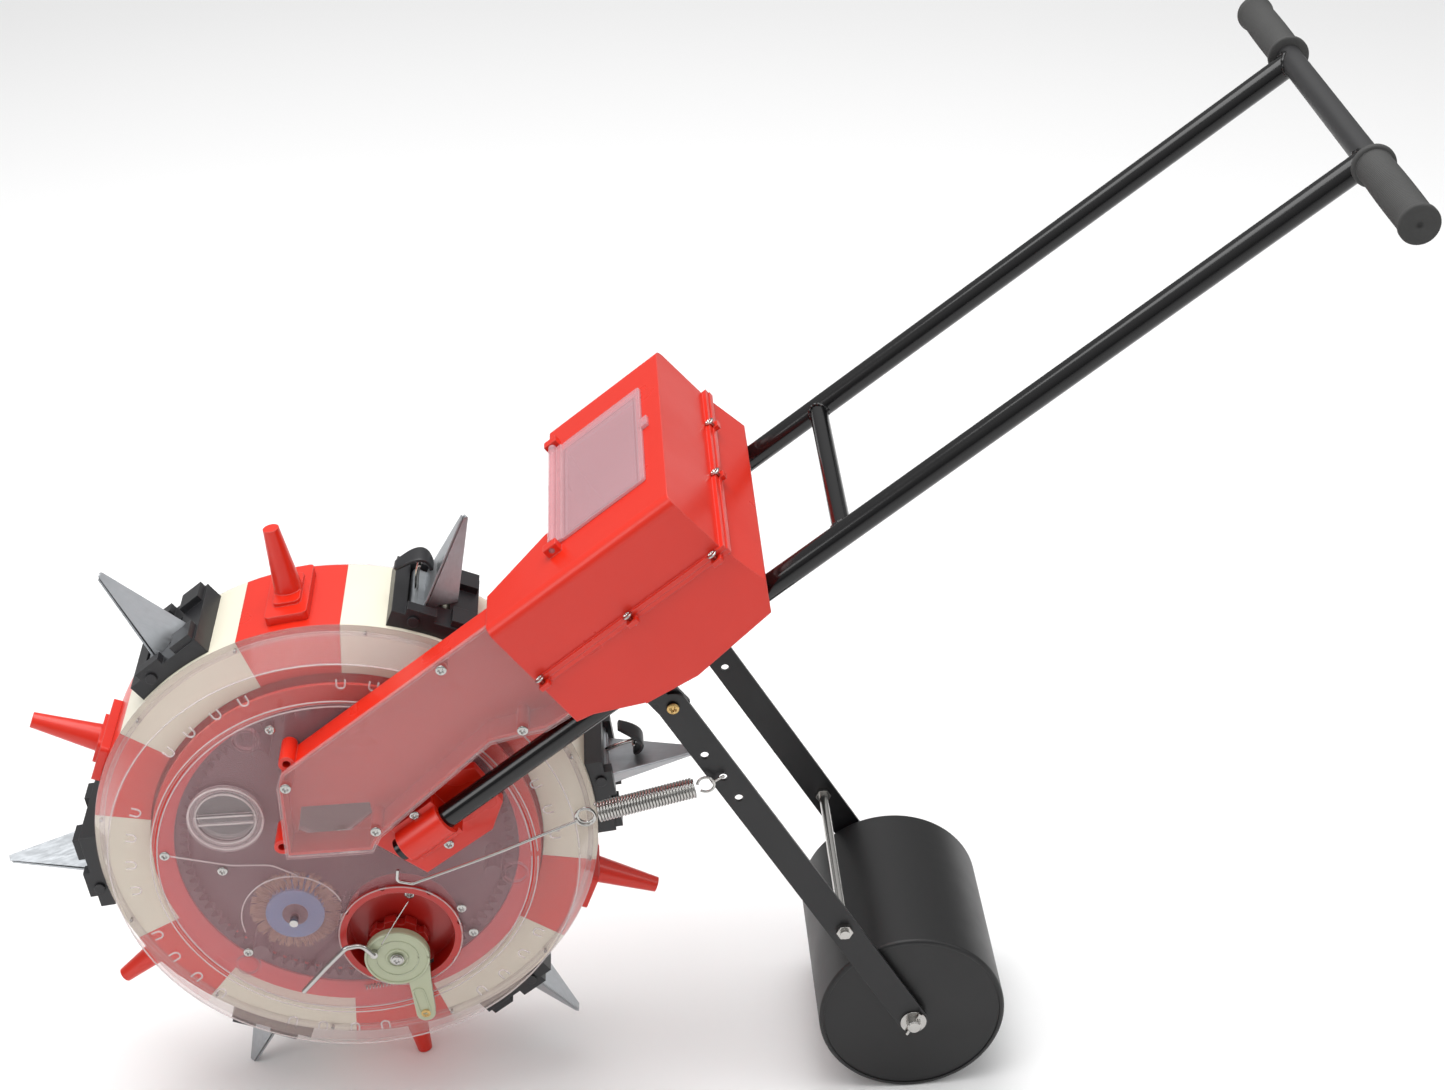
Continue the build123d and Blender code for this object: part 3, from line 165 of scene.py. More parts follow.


# edge gives the rounding radius and the strength of the painted highlight that lightens the edges.
def moulded_plastic(name, colour, roughness, peel=(180.0, 0.004), edge=(0.001, 0.15), gloss_coat=0.0):
    """Moulded plastic: coloured base, orange peel, and a roughness band round its mean."""
    material, tree, shader = new_material(name)
    skin = use_group(tree, plastic_skin, Color=(*colour, 1), Peel_Scale=peel[0], Peel_Depth=peel[1],
                     Edge_Radius=edge[0], Edge_Lift=edge[1])
    rough = wear_band(tree, skin.outputs["Roughness Drift"], roughness * 0.85, roughness * 1.2)
    tree.links.new(skin.outputs["Color"], shader.inputs["Base Color"])
    tree.links.new(rough, shader.inputs["Roughness"])
    tree.links.new(skin.outputs["Normal"], shader.inputs["Normal"])
    shader.inputs["IOR"].default_value = 1.5
    shader.inputs["Coat Weight"].default_value = gloss_coat
    return material


def paint(material, *names):
    """Gives CAD nodes or new pieces one material."""
    for name in names:
        piece = nodes[name] if isinstance(name, str) else name
        piece.data.materials.clear()
        piece.data.materials.append(material)


red_plastic = moulded_plastic("red_moulded_plastic", (0.70, 0.021, 0.006), 0.30, peel=(180.0, 0.004),
                              edge=(0.0014, 0.12), gloss_coat=0.08)
cream_plastic = moulded_plastic("cream_moulded_plastic", (0.80, 0.76, 0.62), 0.34)
paint(red_plastic, "red_segments", "planting_pegs", "divider_wheel", "far_web")
paint(cream_plastic, "cream_segments")


# ---- Duckbills -----------------------------------------------------------------------------
# Black nylon bases bolted on the cream segments, each with a pressed zinc-plated steel beak
# and a hinged flap. The plating is bright, with soft grain from the sheet and rounded edges.

def plated_sheet_group():
    """Zinc plate: a stretched noise for the rolled grain and a cell pattern for the spangle."""
    inputs = [
        ("Color", "Color", (0.6, 0.6, 0.6, 1)),
        ("Grain", "Float", 0.1),
        ("Edge Radius", "Float", 0.0006),
    ]
    outputs = [("Color", "Color"), ("Dullness", "Float"), ("Normal", "Vector")]
    group, entry, leave = new_group("zinc_plated_sheet", inputs, outputs)
    place = add_node(group, "TexCoord").outputs["Object"]
    stretched = add_node(group, "Mapping", None, {0: place, 3: (60.0, 900.0, 220.0)})
    grain = add_node(group, "TexNoise", None, {0: stretched.outputs[0], 2: 1.0, 3: 3.0})
    spangle = add_node(group, "TexVoronoi", None, {0: place, 2: 170.0})
    rounded = add_node(group, "Bevel", {"samples": 4}, {0: entry.outputs["Edge Radius"]})
    bump = add_node(group, "Bump", None, {0: entry.outputs["Grain"], 1: 0.0003})
    group.links.new(grain.outputs[0], bump.inputs["Height"])
    group.links.new(rounded.outputs[0], bump.inputs["Normal"])
    duller = add_node(group, "HueSaturation", None, {2: 0.93, 4: entry.outputs["Color"]})
    tint = add_node(group, "Mix", {"data_type": "RGBA"}, {0: spangle.outputs["Distance"],
                    6: entry.outputs["Color"], 7: duller.outputs[0]})
    group.links.new(tint.outputs[2], leave.inputs["Color"])
    group.links.new(grain.outputs[0], leave.inputs["Dullness"])
    group.links.new(bump.outputs[0], leave.inputs["Normal"])
    return group


plated_sheet = plated_sheet_group()


def plated_metal(name, colour, roughness, grain=0.12, edge=0.0006):
    """Bright plated metal with rolled grain."""
    material, tree, shader = new_material(name)
    skin = use_group(tree, plated_sheet, Color=(*colour, 1), Grain=grain, Edge_Radius=edge)
    dull = wear_band(tree, skin.outputs["Dullness"], roughness * 0.75, roughness * 1.35)
    tree.links.new(skin.outputs["Color"], shader.inputs["Base Color"])
    tree.links.new(dull, shader.inputs["Roughness"])
    tree.links.new(skin.outputs["Normal"], shader.inputs["Normal"])
    shader.inputs["Metallic"].default_value = 1.0
    return material


beak_steel = plated_metal("zinc_plated_beak_steel", (0.44, 0.46, 0.48), 0.40, grain=0.0)
fastener_steel = plated_metal("plated_fastener_steel", (0.50, 0.49, 0.47), 0.20, grain=0.03, edge=0.0003)
black_nylon = moulded_plastic("black_nylon", (0.012, 0.012, 0.014), 0.38, edge=(0.001, 0.06))
paint(black_nylon, "beak_bases", "beak_pins")
paint(beak_steel, "fixed_beaks", *[f"beak_flap_{k}" for k in range(1, 7)])


# ---- Screws --------------------------------------------------------------------------------
# Cold-headed pan-head screws with a cross recess, zinc plated. Every head is domed, and its
# shank runs on through the clear plastic, where it shows.

def closed_islands(node):
    """The separate closed shells of a CAD node, as arrays of corners. Corners that share a place
    are one, and each shell's number spreads along its triangles until nothing changes."""
    mesh = nodes[node].data
    corners = np.empty(len(mesh.vertices) * 3)
    mesh.vertices.foreach_get("co", corners)
    corners = corners.reshape(-1, 3)
    places, merged = np.unique(np.round(corners, 6), axis=0, return_inverse=True)
    loops = np.empty(len(mesh.loops), int)
    mesh.loops.foreach_get("vertex_index", loops)
    triangles = merged.ravel()[loops].reshape(-1, 3)
    shell = np.arange(len(places))
    while True:
        lowest = shell[triangles].min(axis=1)
        spread = shell.copy()
        for corner in range(3):
            np.minimum.at(spread, triangles[:, corner], lowest)
        spread = spread[spread]
        if (spread == shell).all():
            return [places[shell == number] for number in np.unique(shell)]
        shell = spread


def screw_mesh(foot, outward, head, height, shank, depth):
    """A pan head and shank turned about outward from foot: rings of points at the profile's
    radius and height, with a cross-shaped dip pressed into the dome."""
    outward = np.array(outward, float) / np.linalg.norm(outward)
    beside = np.cross(outward, (0.3, 0.1, 0.9))
    beside /= np.linalg.norm(beside)
    above = np.cross(outward, beside)
    turn = np.linspace(0, 2 * np.pi, 32, endpoint=False)
    dome = np.linspace(0.06, 1, 12)
    radius = np.concatenate([head * dome, [head, head * 0.97, shank, shank]])
    domed = height * (0.45 + 0.55 * np.sqrt(1 - (0.98 * dome) ** 2))
    level = np.concatenate([domed, [height * 0.15, 0, 0, -depth]])
    across, up = radius[:, None] * np.cos(turn), radius[:, None] * np.sin(turn)
    slot = head * 0.19
    inside = np.minimum(np.abs(across), np.abs(up)) < slot
    near = np.maximum(np.abs(across), np.abs(up)) < head * 0.62
    dip = np.where(inside & near & (radius[:, None] < head * 0.95), height * 0.85, 0)
    raised = level[:, None] - dip
    return foot + across[..., None] * beside + up[..., None] * above + raised[..., None] * outward


def tubes_mesh(name, tubes):
    """One mesh of many closed-ended tubes, each an array of rings of points."""
    points, faces, start = [], [], 0
    for rings in tubes:
        steps, sides, _ = rings.shape
        index = start + np.arange(steps * sides).reshape(steps, sides)
        ahead = np.roll(index, -1, axis=1)
        quads = np.stack([index[:-1], ahead[:-1], ahead[1:], index[1:]], -1).reshape(-1, 4)
        faces += quads.tolist() + [index[0, ::-1].tolist(), index[-1].tolist()]
        points.append(rings.reshape(-1, 3))
        start += steps * sides
    mesh = bpy.data.meshes.new(name)
    mesh.from_pydata(np.concatenate(points), [], faces)
    mesh.polygons.foreach_set("use_smooth", np.ones(len(mesh.polygons), bool))
    piece = bpy.data.objects.new(name, mesh)
    bpy.context.scene.collection.objects.link(piece)
    return piece


def face_outwards(piece):
    """Turns a closed piece's faces outwards."""
    shell = bmesh.new()
    shell.from_mesh(piece.data)
    bmesh.ops.recalc_face_normals(shell, faces=shell.faces)
    shell.to_mesh(piece.data)
    shell.free()


def screws_for(node, body, outward, height, material, head_scale=1.0):
    """Screws in place of a CAD node's plain ones: each shell gives one screw's place and size,
    and head_scale widens its head. Where outward is None, a screw points to its own side."""
    tubes = []
    for shell in closed_islands(node):
        middle = (shell.min(0) + shell.max(0)) / 2
        way = np.array(outward if outward is not None else (0, np.sign(middle[1]), 0), float)
        way /= np.linalg.norm(way)
        rise = (shell - middle) @ way
        wide = np.linalg.norm(shell - middle - rise[:, None] * way, axis=1)
        head = wide.max()
        foot = middle + (rise.max() - height) * way
        shank = wide[rise < rise.min() + 0.0002].max()
        depth = rise.max() - height - rise.min()
        tubes.append(screw_mesh(foot, way, head * head_scale, height, shank, depth))
    piece = tubes_mesh(node + "_headed", tubes)
    face_outwards(piece)
    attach(piece, body)
    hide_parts(node)
    paint(material, piece)


HANDLE_TILT = np.radians(36.56)
across_handle = (-np.sin(HANDLE_TILT), 0, np.cos(HANDLE_TILT))
near_side = (0, -1, 0)
PAN_HEIGHT = 0.0018
screws_for("ring_screws", "drum", near_side, 0.0014, fastener_steel)
screws_for("disc_screws", "frame", near_side, PAN_HEIGHT, fastener_steel, head_scale=1.3)
screws_for("chute_screws", "frame", near_side, PAN_HEIGHT, fastener_steel, head_scale=1.35)
screws_for("clamp_screws", "frame", near_side, PAN_HEIGHT, fastener_steel, head_scale=1.15)
screws_for("hopper_screws", "frame", across_handle, PAN_HEIGHT, fastener_steel, head_scale=1.2)


# ---- Clear sides ---------------------------------------------------------------------------
# Dished rings of clear polycarbonate, faintly pink, screwed to both sides of the rim, and the
# fixed discs inside them. Painted highlights draw light lines where the sheet ends and at each moulded
# corner.

def clear_plastic(name, tint, body, roughness=0.08, edge_radius=0.0012):
    """Clear moulding: mostly see-through face on, solid at a glancing angle and at its edges, where a
    painted highlight also pales the tint.
    """
    material, tree, shader = new_material(name)
    skin = use_group(tree, plastic_skin, Color=(*tint, 1), Peel_Scale=60.0, Peel_Depth=0.01,
                     Edge_Radius=edge_radius, Edge_Lift=0.5)
    glance = add_node(tree, "LayerWeight", None, {0: 0.28}).outputs["Facing"]
    haze = add_node(tree, "MapRange", None, {0: glance, 1: 0.35, 2: 1.0, 3: body, 4: 0.6}).outputs[0]
    # Painted highlight: the edges turn more opaque and, with the edge input at 0.5, paler, drawing light
    # lines along them.
    rim = add_node(tree, "Math", {"operation": "MULTIPLY"}, {0: skin.outputs["Edge"], 1: 0.6}).outputs[0]
    opacity = add_node(tree, "Math", {"operation": "MAXIMUM"}, {0: haze, 1: rim}).outputs[0]
    tree.links.new(skin.outputs["Color"], shader.inputs["Base Color"])
    tree.links.new(opacity, shader.inputs["Alpha"])
    tree.links.new(skin.outputs["Normal"], shader.inputs["Normal"])
    shader.inputs["Roughness"].default_value = roughness
    shader.inputs["IOR"].default_value = 1.58
    shader.inputs["Coat Weight"].default_value = 0.6
    return material


clear_side = clear_plastic("clear_pink_polycarbonate", (0.76, 0.60, 0.59), 0.10)
clear_cover = clear_plastic("clear_cover_plastic", (0.66, 0.42, 0.42), 0.20)
clear_disc = clear_plastic("clear_mauve_disc", (0.66, 0.36, 0.39), 0.22)
clear_lid = clear_plastic("clear_lid_plastic", (0.76, 0.44, 0.48), 0.46)
clear_cap = clear_plastic("clear_cap_plastic", (0.84, 0.70, 0.70), 0.16)
paint(clear_side, "clear_ring_near", "clear_ring_far")
paint(clear_disc, "fixed_disc_near", "fixed_disc_far")
paint(clear_cap, "clean_out_cap")


# ---- Seed works behind the near side -------------------------------------------------------
# A dark back plate on three spacers, the ring gear and its pinions, the metering wheel in a deep
# red cup, and a translucent olive gate with a bright bent lever.

dark_plate = moulded_plastic("dark_back_plate", (0.055, 0.052, 0.056), 0.36, edge=(0.0008, 0.08))
olive_plastic = clear_plastic("translucent_olive_plastic", (0.50, 0.54, 0.36), 0.84, roughness=0.22)
paint(dark_plate, "back_plate", "disc_spacers")
paint(black_nylon, "ring_gear", "idler_gear")
deep_red = moulded_plastic("deep_red_cup_plastic", (0.46, 0.012, 0.007), 0.30, gloss_coat=0.2)
paint(deep_red, "metering_cup", "metering_wheel")
paint(olive_plastic, "seed_gate")
paint(fastener_steel, "gate_lever", "gear_studs", "main_axle", "axle_nuts")


# ---- Sweeping brush ------------------------------------------------------------------------
# A steel-blue moulded hub with rings of tan filaments, pushed in as tufts and trimmed round.

def brush_filaments(centre, near, far, root, tip, tufts, per_tuft):
    """Thin tapered filaments. Each is a ring of six points carried along a slightly bent line
    from the hub's radius to the tip's, spread in angle and width within its tuft."""
    rng = np.random.default_rng(7)
    count = tufts * per_tuft
    turn = (np.repeat(np.arange(tufts), per_tuft) + rng.normal(0, 0.13, count)) * 2 * np.pi / tufts
    across = rng.uniform(near, far, count)
    lean = rng.normal(0, 0.05, count) + np.repeat(rng.normal(0, 0.05, tufts), per_tuft)
    reach = tip - np.abs(rng.normal(0, 0.0016, count))
    along = np.linspace(0, 1, 4)
    ring = np.linspace(0, 2 * np.pi, 6, endpoint=False)
    radius = root + (reach[:, None] - root) * along
    angle = turn[:, None] + lean[:, None] * along ** 2
    width = 0.00034 * (1 - 0.35 * along)
    out = np.stack([np.cos(angle), np.zeros_like(angle), np.sin(angle)], -1)
    beside = np.stack([-np.sin(angle), np.zeros_like(angle), np.cos(angle)], -1)
    line = centre + out * radius[..., None] + np.array([0, 1, 0]) * across[:, None, None]
    circle = (beside[:, :, None] * np.cos(ring)[:, None] + np.array([0, 1, 0]) * np.sin(ring)[:, None])
    return line[:, :, None] + circle * width[None, :, None, None]


def bristle_material():
    """Tan nylon filament: colour drifts between tan and dark brown from tuft to tuft."""
    material, tree, shader = new_material("tan_filament")
    place = add_node(tree, "TexCoord").outputs["Object"]
    drift = add_node(tree, "TexNoise", None, {0: place, 2: 260.0, 3: 2.0}).outputs[0]
    colour = add_node(tree, "Mix", {"data_type": "RGBA"}, {0: drift,
                      6: (0.62, 0.49, 0.32, 1), 7: (0.30, 0.22, 0.13, 1)}).outputs[2]
    tree.links.new(colour, shader.inputs["Base Color"])
    shader.inputs["Roughness"].default_value = 0.55
    return material


brush_low, brush_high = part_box("brush_bristles")
brush_centre = (np.array(brush_low) + np.array(brush_high)) / 2 * (1, 0, 1)
brush_tip = (brush_high.x - brush_low.x) / 2 - 0.0004
filaments = tubes_mesh("brush_filaments", brush_filaments(
    brush_centre, brush_low.y + 0.0006, brush_high.y - 0.0006, 0.0228, brush_tip, 34, 30))
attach(filaments, "brush")
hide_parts("brush_bristles")
paint(bristle_material(), filaments)
blue_hub = moulded_plastic("steel_blue_hub", (0.05, 0.28, 0.54), 0.40)
paint(blue_hub, "brush_hub")


# ---- Bent wires ----------------------------------------------------------------------------
# The tension spring and the small wires: hard-drawn zinc-plated wire, close-wound for the
# spring, with hooks bent from its last turns.

def joint_place(name):
    """A joint's place at rest, from the record."""
    return np.array(next(j for j in frame["joints"] if j["name"] == name)["pos_m"])


def side_point(x, z, y):
    """A place beside the drum: x and z from the axle and y from the machine's middle, in mm."""
    return joint_place("drum_spin") * (1, 0, 1) + np.array([x, y, z]) / 1000


def wire(path, radius, beside, sides=10):
    """A round wire along a path: a circle in the plane across the path's direction, turned so
    that it starts from the part of beside that lies across it."""
    heading = np.gradient(path, axis=0)
    heading /= np.linalg.norm(heading, axis=1)[:, None]
    first = beside - (heading * beside).sum(-1)[:, None] * heading
    first /= np.linalg.norm(first, axis=1)[:, None]
    second = np.cross(heading, first)
    turn = np.linspace(0, 2 * np.pi, sides, endpoint=False)
    circle = np.cos(turn)[:, None] * first[:, None] + np.sin(turn)[:, None] * second[:, None]
    return path[:, None] + radius * circle


def rounded_path(corners, count=60, ease=2):
    """Points along straight runs between corners, with the corners eased by repeated averaging."""
    corners = np.array(corners)
    steps = np.linalg.norm(np.diff(corners, axis=0), axis=1)
    travel = np.concatenate([[0], np.cumsum(steps)])
    sample = np.linspace(0, travel[-1], count)
    path = np.stack([np.interp(sample, travel, corners[:, axis]) for axis in range(3)], -1)
    for _ in range(ease):
        path[1:-1] = (path[:-2] + 2 * path[1:-1] + path[2:]) / 4
    return path


def ring_path(centre, radius, start, sweep, count=40):
    """Part of a circle in the side view, from one angle through a sweep, in degrees."""
    angle = np.radians(np.linspace(start, start + sweep, count))
    return centre + radius * np.stack([np.cos(angle), 0 * angle, np.sin(angle)], -1)


SIDEWAYS = np.array([0, 1.0, 0])
SPRING_WIRE = 0.0011
SPRING_COIL = 0.0074
SPRING_TURNS = 32
spring_near = side_point(207, 50.8, -104)
spring_far = side_point(285, 68.8, -104)
spring_line = (spring_far - spring_near) / np.linalg.norm(spring_far - spring_near)
spring_up = np.cross(spring_line, (0, 1, 0))
twist = np.linspace(0, SPRING_TURNS * 2 * np.pi, SPRING_TURNS * 20)
outwards = np.cos(twist)[:, None] * spring_up + np.sin(twist)[:, None] * np.array([0, 1, 0])
lay = np.linspace(0, 1, len(twist))[:, None] * (spring_far - spring_near)
coil = spring_near + lay + SPRING_COIL * outwards
hooks = []
for end, way in ((spring_far, 1), (spring_near, -1)):
    eye = end + way * spring_line * 0.0095
    first = np.degrees(np.arctan2(spring_line[2], spring_line[0])) + (180 if way > 0 else 0)
    hooks.append(wire(ring_path(eye, 0.0068, first - 20, -300), SPRING_WIRE, SIDEWAYS))
link_line = rounded_path([
    spring_far + spring_line * 0.0145,
    side_point(308.4, 78, -104),
    side_point(308.4, 73, -98),
], 30, 4)
hooks.append(wire(link_line, SPRING_WIRE, spring_up))
spring = tubes_mesh("close_wound_spring", [wire(coil, SPRING_WIRE, spring_line)] + hooks)
face_outwards(spring)
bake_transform(spring)
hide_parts("tension_spring")
paint(fastener_steel, spring)

eye_wire = wire(ring_path(side_point(197.2, 46.9, -104), 0.0078, 190, 350), 0.0013, SIDEWAYS)
gate_wire = wire(rounded_path([
    side_point(47, -41, -83.6),
    side_point(33, -58, -93.2),
    side_point(22, -76, -93.8),
], 30), 0.0005, SIDEWAYS)
PIN_SPRING_TURNS = 13
pin_twist = np.linspace(0, PIN_SPRING_TURNS * 2 * np.pi, PIN_SPRING_TURNS * 16)
PIN_COIL = 0.0022
pin_reach = np.linspace(0, 1, len(pin_twist))[:, None] * np.array([0.036, 0, 0.004])
pin_lap = np.cos(pin_twist)[:, None] * [0, 0, 1] + np.sin(pin_twist)[:, None] * [0, 1, 0]
pin_coil = side_point(2, -129, -82.1) + pin_reach + PIN_COIL * pin_lap
pin_spring = wire(pin_coil, 0.0004, np.array([1.0, 0, 0]), 8)
hub_low, hub_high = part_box("brush_hub")
hub_middle = np.array([(hub_low.x + hub_high.x) / 2, 0, (hub_low.z + hub_high.z) / 2])
hub_face = hub_middle + np.array([[0, hub_low.y + 0.0004, 0], [0, hub_low.y - 0.0006, 0]])
hub_washer = tubes_mesh("brush_hub_washer", [wire(hub_face, 0.0105, np.array([1.0, 0, 0]), 40)])
face_outwards(hub_washer)
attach(hub_washer, "brush")
paint(dark_plate, hub_washer)

small_wires = tubes_mesh("rod_eye_and_gate_wires", [eye_wire, gate_wire, pin_spring])
face_outwards(small_wires)
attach(small_wires, "frame")
paint(fastener_steel, small_wires)


# ---- Gate rim and screws -------------------------------------------------------------------
# The olive gate has a raised rim, a hub boss and a slot round its tail screw. A steel screw
# holds the hub and a brass one clamps the tail.

brass = plated_metal("brass_screw", (0.62, 0.42, 0.17), 0.28, grain=0.04, edge=0.0004)
GATE_FACE = -91.2
GATE_TAIL = (51.3, -153.0)


def oval_path(centre, half_length, radius, lean, y):
    """A stadium outline in the side view: a circle stretched along the direction lean."""
    angle = np.radians(np.linspace(0, 358, 60))
    stretch = np.clip(np.cos(angle) * 4, -1, 1) * half_length
    way, beside = np.array([np.cos(lean), np.sin(lean)]), np.array([-np.sin(lean), np.cos(lean)])
    flat = (stretch + radius * np.cos(angle))[:, None] * way + (radius * np.sin(angle))[:, None] * beside
    x, z = centre[0] + flat[:, 0], centre[1] + flat[:, 1]
    return side_point(0, 0, y) + np.stack([x, 0 * x, z], -1) / 1000


gate_centre = (joint_place("gate_turn") - joint_place("drum_spin"))[[0, 2]] * 1000
gate_lines = [wire(oval_path(gate_centre, 0, r, 0, GATE_FACE), width, SIDEWAYS, 10)
              for r, width in ((25.8, 0.0012), (17.5, 0.0006), (8.5, 0.0012))]
tail_slot = oval_path((49.0, -140.0), 9.0, 4.6, np.radians(-80), GATE_FACE)
gate_lines.append(wire(tail_slot, 0.0009, SIDEWAYS, 10))
gate_rims = tubes_mesh("gate_rims", gate_lines)
gate_screws = tubes_mesh("gate_screws", [
    screw_mesh(side_point(*gate_centre, -93.6), near_side, 0.0045, 0.0018, 0.0022, 0.002)])
gate_brass = tubes_mesh("gate_tail_screw", [
    screw_mesh(side_point(*GATE_TAIL, -91.0), near_side, 0.0040, 0.0018, 0.0018, 0.004)])
for piece, slot, material in ((gate_rims, "olive_plastic", olive_plastic),
                              (gate_screws, "steel", fastener_steel),
                              (gate_brass, "brass", brass)):
    face_outwards(piece)
    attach(piece, "gate")
    paint(material, piece)


# ---- Beak levers ---------------------------------------------------------------------------
# Two of the flaps have a bright pin that carries a curved black cap. The ground presses the
# cap and swings the flap open.

def strap(path, width, thickness, sideways):
    """A bent strip: rings of a squared-off oval, width along sideways and thickness across it."""
    heading = np.gradient(path, axis=0)
    heading /= np.linalg.norm(heading, axis=1)[:, None]
    over = np.cross(heading, sideways)
    angle = np.linspace(0, 2 * np.pi, 24, endpoint=False)
    flat, tall = (np.sign(f(angle)) * np.abs(f(angle)) ** 0.35 for f in (np.cos, np.sin))
    taper = 1 - 0.35 * np.linspace(-1, 1, len(path))[:, None, None] ** 2
    return (path[:, None] + width / 2 * taper * flat[:, None] * sideways
            + thickness / 2 * tall[:, None] * over[:, None])


RIM_R = 205.0


def rim_point(angle, x, y, z):
    """A place at a rim station, in mm: x forwards round the rim, y towards the near side and z
    outwards from the rim."""
    a = np.radians(angle)
    x, y, z = np.broadcast_arrays(*(np.asarray(v, float) for v in (x, y, z)))
    reach = RIM_R + z
    flat = np.stack([reach * np.cos(a) - x * np.sin(a), -y, reach * np.sin(a) + x * np.cos(a)], -1)
    return side_point(0, 0, 0) + flat / 1000


BEAK_PHASE = 6.5
STATION_STEP = 60
for k, body in enumerate(("flap_1", "flap_2")):
    angle = BEAK_PHASE + STATION_STEP * k
    bend = np.linspace(0, 1, 22)
    hood = rim_point(angle, 10 + 27 * bend, 0, 36 + 9 * np.sin(np.pi * bend ** 0.8) - 9 * bend ** 2)
    cap = tubes_mesh(f"beak_lever_cap_{k + 1}", [strap(hood, 0.021, 0.0034, SIDEWAYS)])
    stem = rounded_path(rim_point(angle, [14, 19, 21], 0, [10, 26, 43]), 14, 3)
    cross_pin = rounded_path(rim_point(angle, [20, 20], [-8, 8], [37, 37]), 6, 0)
    pin = tubes_mesh(f"beak_lever_pin_{k + 1}",
                     [wire(stem, 0.0018, SIDEWAYS), wire(cross_pin, 0.0014, spring_up)])
    for piece, slot, material in ((cap, "black_plastic", black_nylon), (pin, "steel", fastener_steel)):
        face_outwards(piece)
        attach(piece, body)
        paint(material, piece)


# ---- Raised details on the clear sides -------------------------------------------------------
# Moulded beads on the fixed disc and small horseshoe bosses round the clear ring, in the same
# clear plastic, with a paler, more opaque tint as a painted highlight along their tops.

axle = joint_place("drum_spin")
RING_FACE = -81.0
RING_BOSS_R = 171.0
DISC_EDGE = 150.6


def horseshoe(angle, radius=RING_BOSS_R, size=3.4):
    """A U-shaped bead, open outwards: half a circle with two short legs."""
    a = np.radians(angle)
    bend = np.linspace(-0.5 * np.pi, 0.5 * np.pi, 14)
    inward = np.concatenate([[-size * 1.4], size * np.cos(bend), [-size * 1.4]])
    beside = np.concatenate([[-size], size * np.sin(bend), [size]])
    r = radius - inward
    x = r * np.cos(a) - beside * np.sin(a)
    z = r * np.sin(a) + beside * np.cos(a)
    points = np.stack([x, np.full_like(x, RING_FACE - 0.1), z], -1)
    return axle * (1, 0, 1) + points / 1000


boss_groups = (18, 72, 124, 172, 214, 262, 318)
ring_boss_angles = [group + step for group in boss_groups for step in (-13, -4.5, 4.5, 13)]
bosses = [wire(horseshoe(a), 0.0008, SIDEWAYS, 8) for a in ring_boss_angles]
rim_lines = [wire(ring_path(side_point(0, 0, RING_FACE), r / 1000, 0, 358, 180), 0.0006, SIDEWAYS, 8)
             for r in (DISC_EDGE, DISC_EDGE + 5, 189.5)]
ring_beads = tubes_mesh("clear_ring_beads", bosses + rim_lines[1:])
disc_lines = [
    rounded_path([side_point(x, z, RING_FACE) for x, z in ((-140, 17), (-92, 4), (-60, 2), (-40, -10))], 40),
    ring_path(side_point(-48, -53, RING_FACE), 0.0425, 20, 175, 60),
    ring_path(side_point(37.4, -76.1, -84), 0.0505, 0, 359, 80),
]
disc_beads = tubes_mesh("fixed_disc_beads",
                        [wire(line, 0.0007, SIDEWAYS, 8) for line in disc_lines] + rim_lines[:1])
CAP_CENTRE = (-89.7, 52.5)
CAP_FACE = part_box("clean_out_cap")[0].y * 1000
CAP_BEAD = 0.0008
cap_ring = side_point(*CAP_CENTRE, CAP_FACE + 2.2)
cap_bar = side_point(*CAP_CENTRE, CAP_FACE + 0.6)
cap_lines = [wire(ring_path(cap_ring, r, 0, 358, 90), CAP_BEAD, SIDEWAYS, 8) for r in (0.0296, 0.0238)]
for dz in (-0.0036, 0.0036):
    bar_edge = rounded_path([cap_bar + (dx, 0, dz) for dx in (-0.022, 0.022)], 12)
    cap_lines.append(wire(bar_edge, CAP_BEAD, np.array([0, 0, 1.0]), 8))
cap_beads = tubes_mesh("clean_out_cap_beads", cap_lines)
# Paler and more opaque than the clear sides: a painted highlight where the beads and step lines catch light.
pale_highlight_beads = clear_plastic("clear_pale_highlight_beads", (0.88, 0.80, 0.79), 0.42)
for beads, body in ((ring_beads, "drum"), (disc_beads, "frame"), (cap_beads, "clean_out_cap")):
    face_outwards(beads)
    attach(beads, body)
    paint(pale_highlight_beads, beads)


# ---- Handle --------------------------------------------------------------------------------
# Two long steel tubes with a welded brace and crossbar, gloss black powder coat, and moulded
# rubber grips pushed on the bar's ends.

def coated_steel(name, colour, roughness, coat):
    """Powder coat over steel: fine peel, gloss lacquer and a faint painted highlight along its edges."""
    return moulded_plastic(name, colour, roughness, peel=(420.0, 0.04), edge=(0.0008, 0.04), gloss_coat=coat)


gloss_black = coated_steel("gloss_black_powder_coat", (0.003, 0.003, 0.0034), 0.15, 0.0)
satin_black = coated_steel("satin_black_paint", (0.006, 0.006, 0.007), 0.40, 0.0)
bar_black = coated_steel("satin_black_bar", (0.022, 0.022, 0.023), 0.50, 0.0)
grip_rubber = moulded_plastic("charcoal_grip_rubber", (0.050, 0.050, 0.049), 0.78, peel=(1400.0, 0.2))
paint(gloss_black, "handle_tube_near", "handle_tube_far", "cross_brace")
paint(bar_black, "crossbar")

TUBE_R = 0.0095
TUBE_Y = 0.1052
TUBE_T = -0.007
BRACE_R = 0.0076
BRACE_S = 0.5
CROSSBAR_S = 0.9636
along_handle = np.array([np.cos(HANDLE_TILT), 0, np.sin(HANDLE_TILT)])
up_handle = np.array(across_handle)


def handle_point(s, t, y):
    """A place on the handle: s up the tubes, t square to them and y sideways, all in metres."""
    s, t, y = (np.asarray(v, float)[..., None] for v in (s, t, y))
    return side_point(0, 0, 0) + s * along_handle + t * up_handle + y * np.array([0, 1, 0])


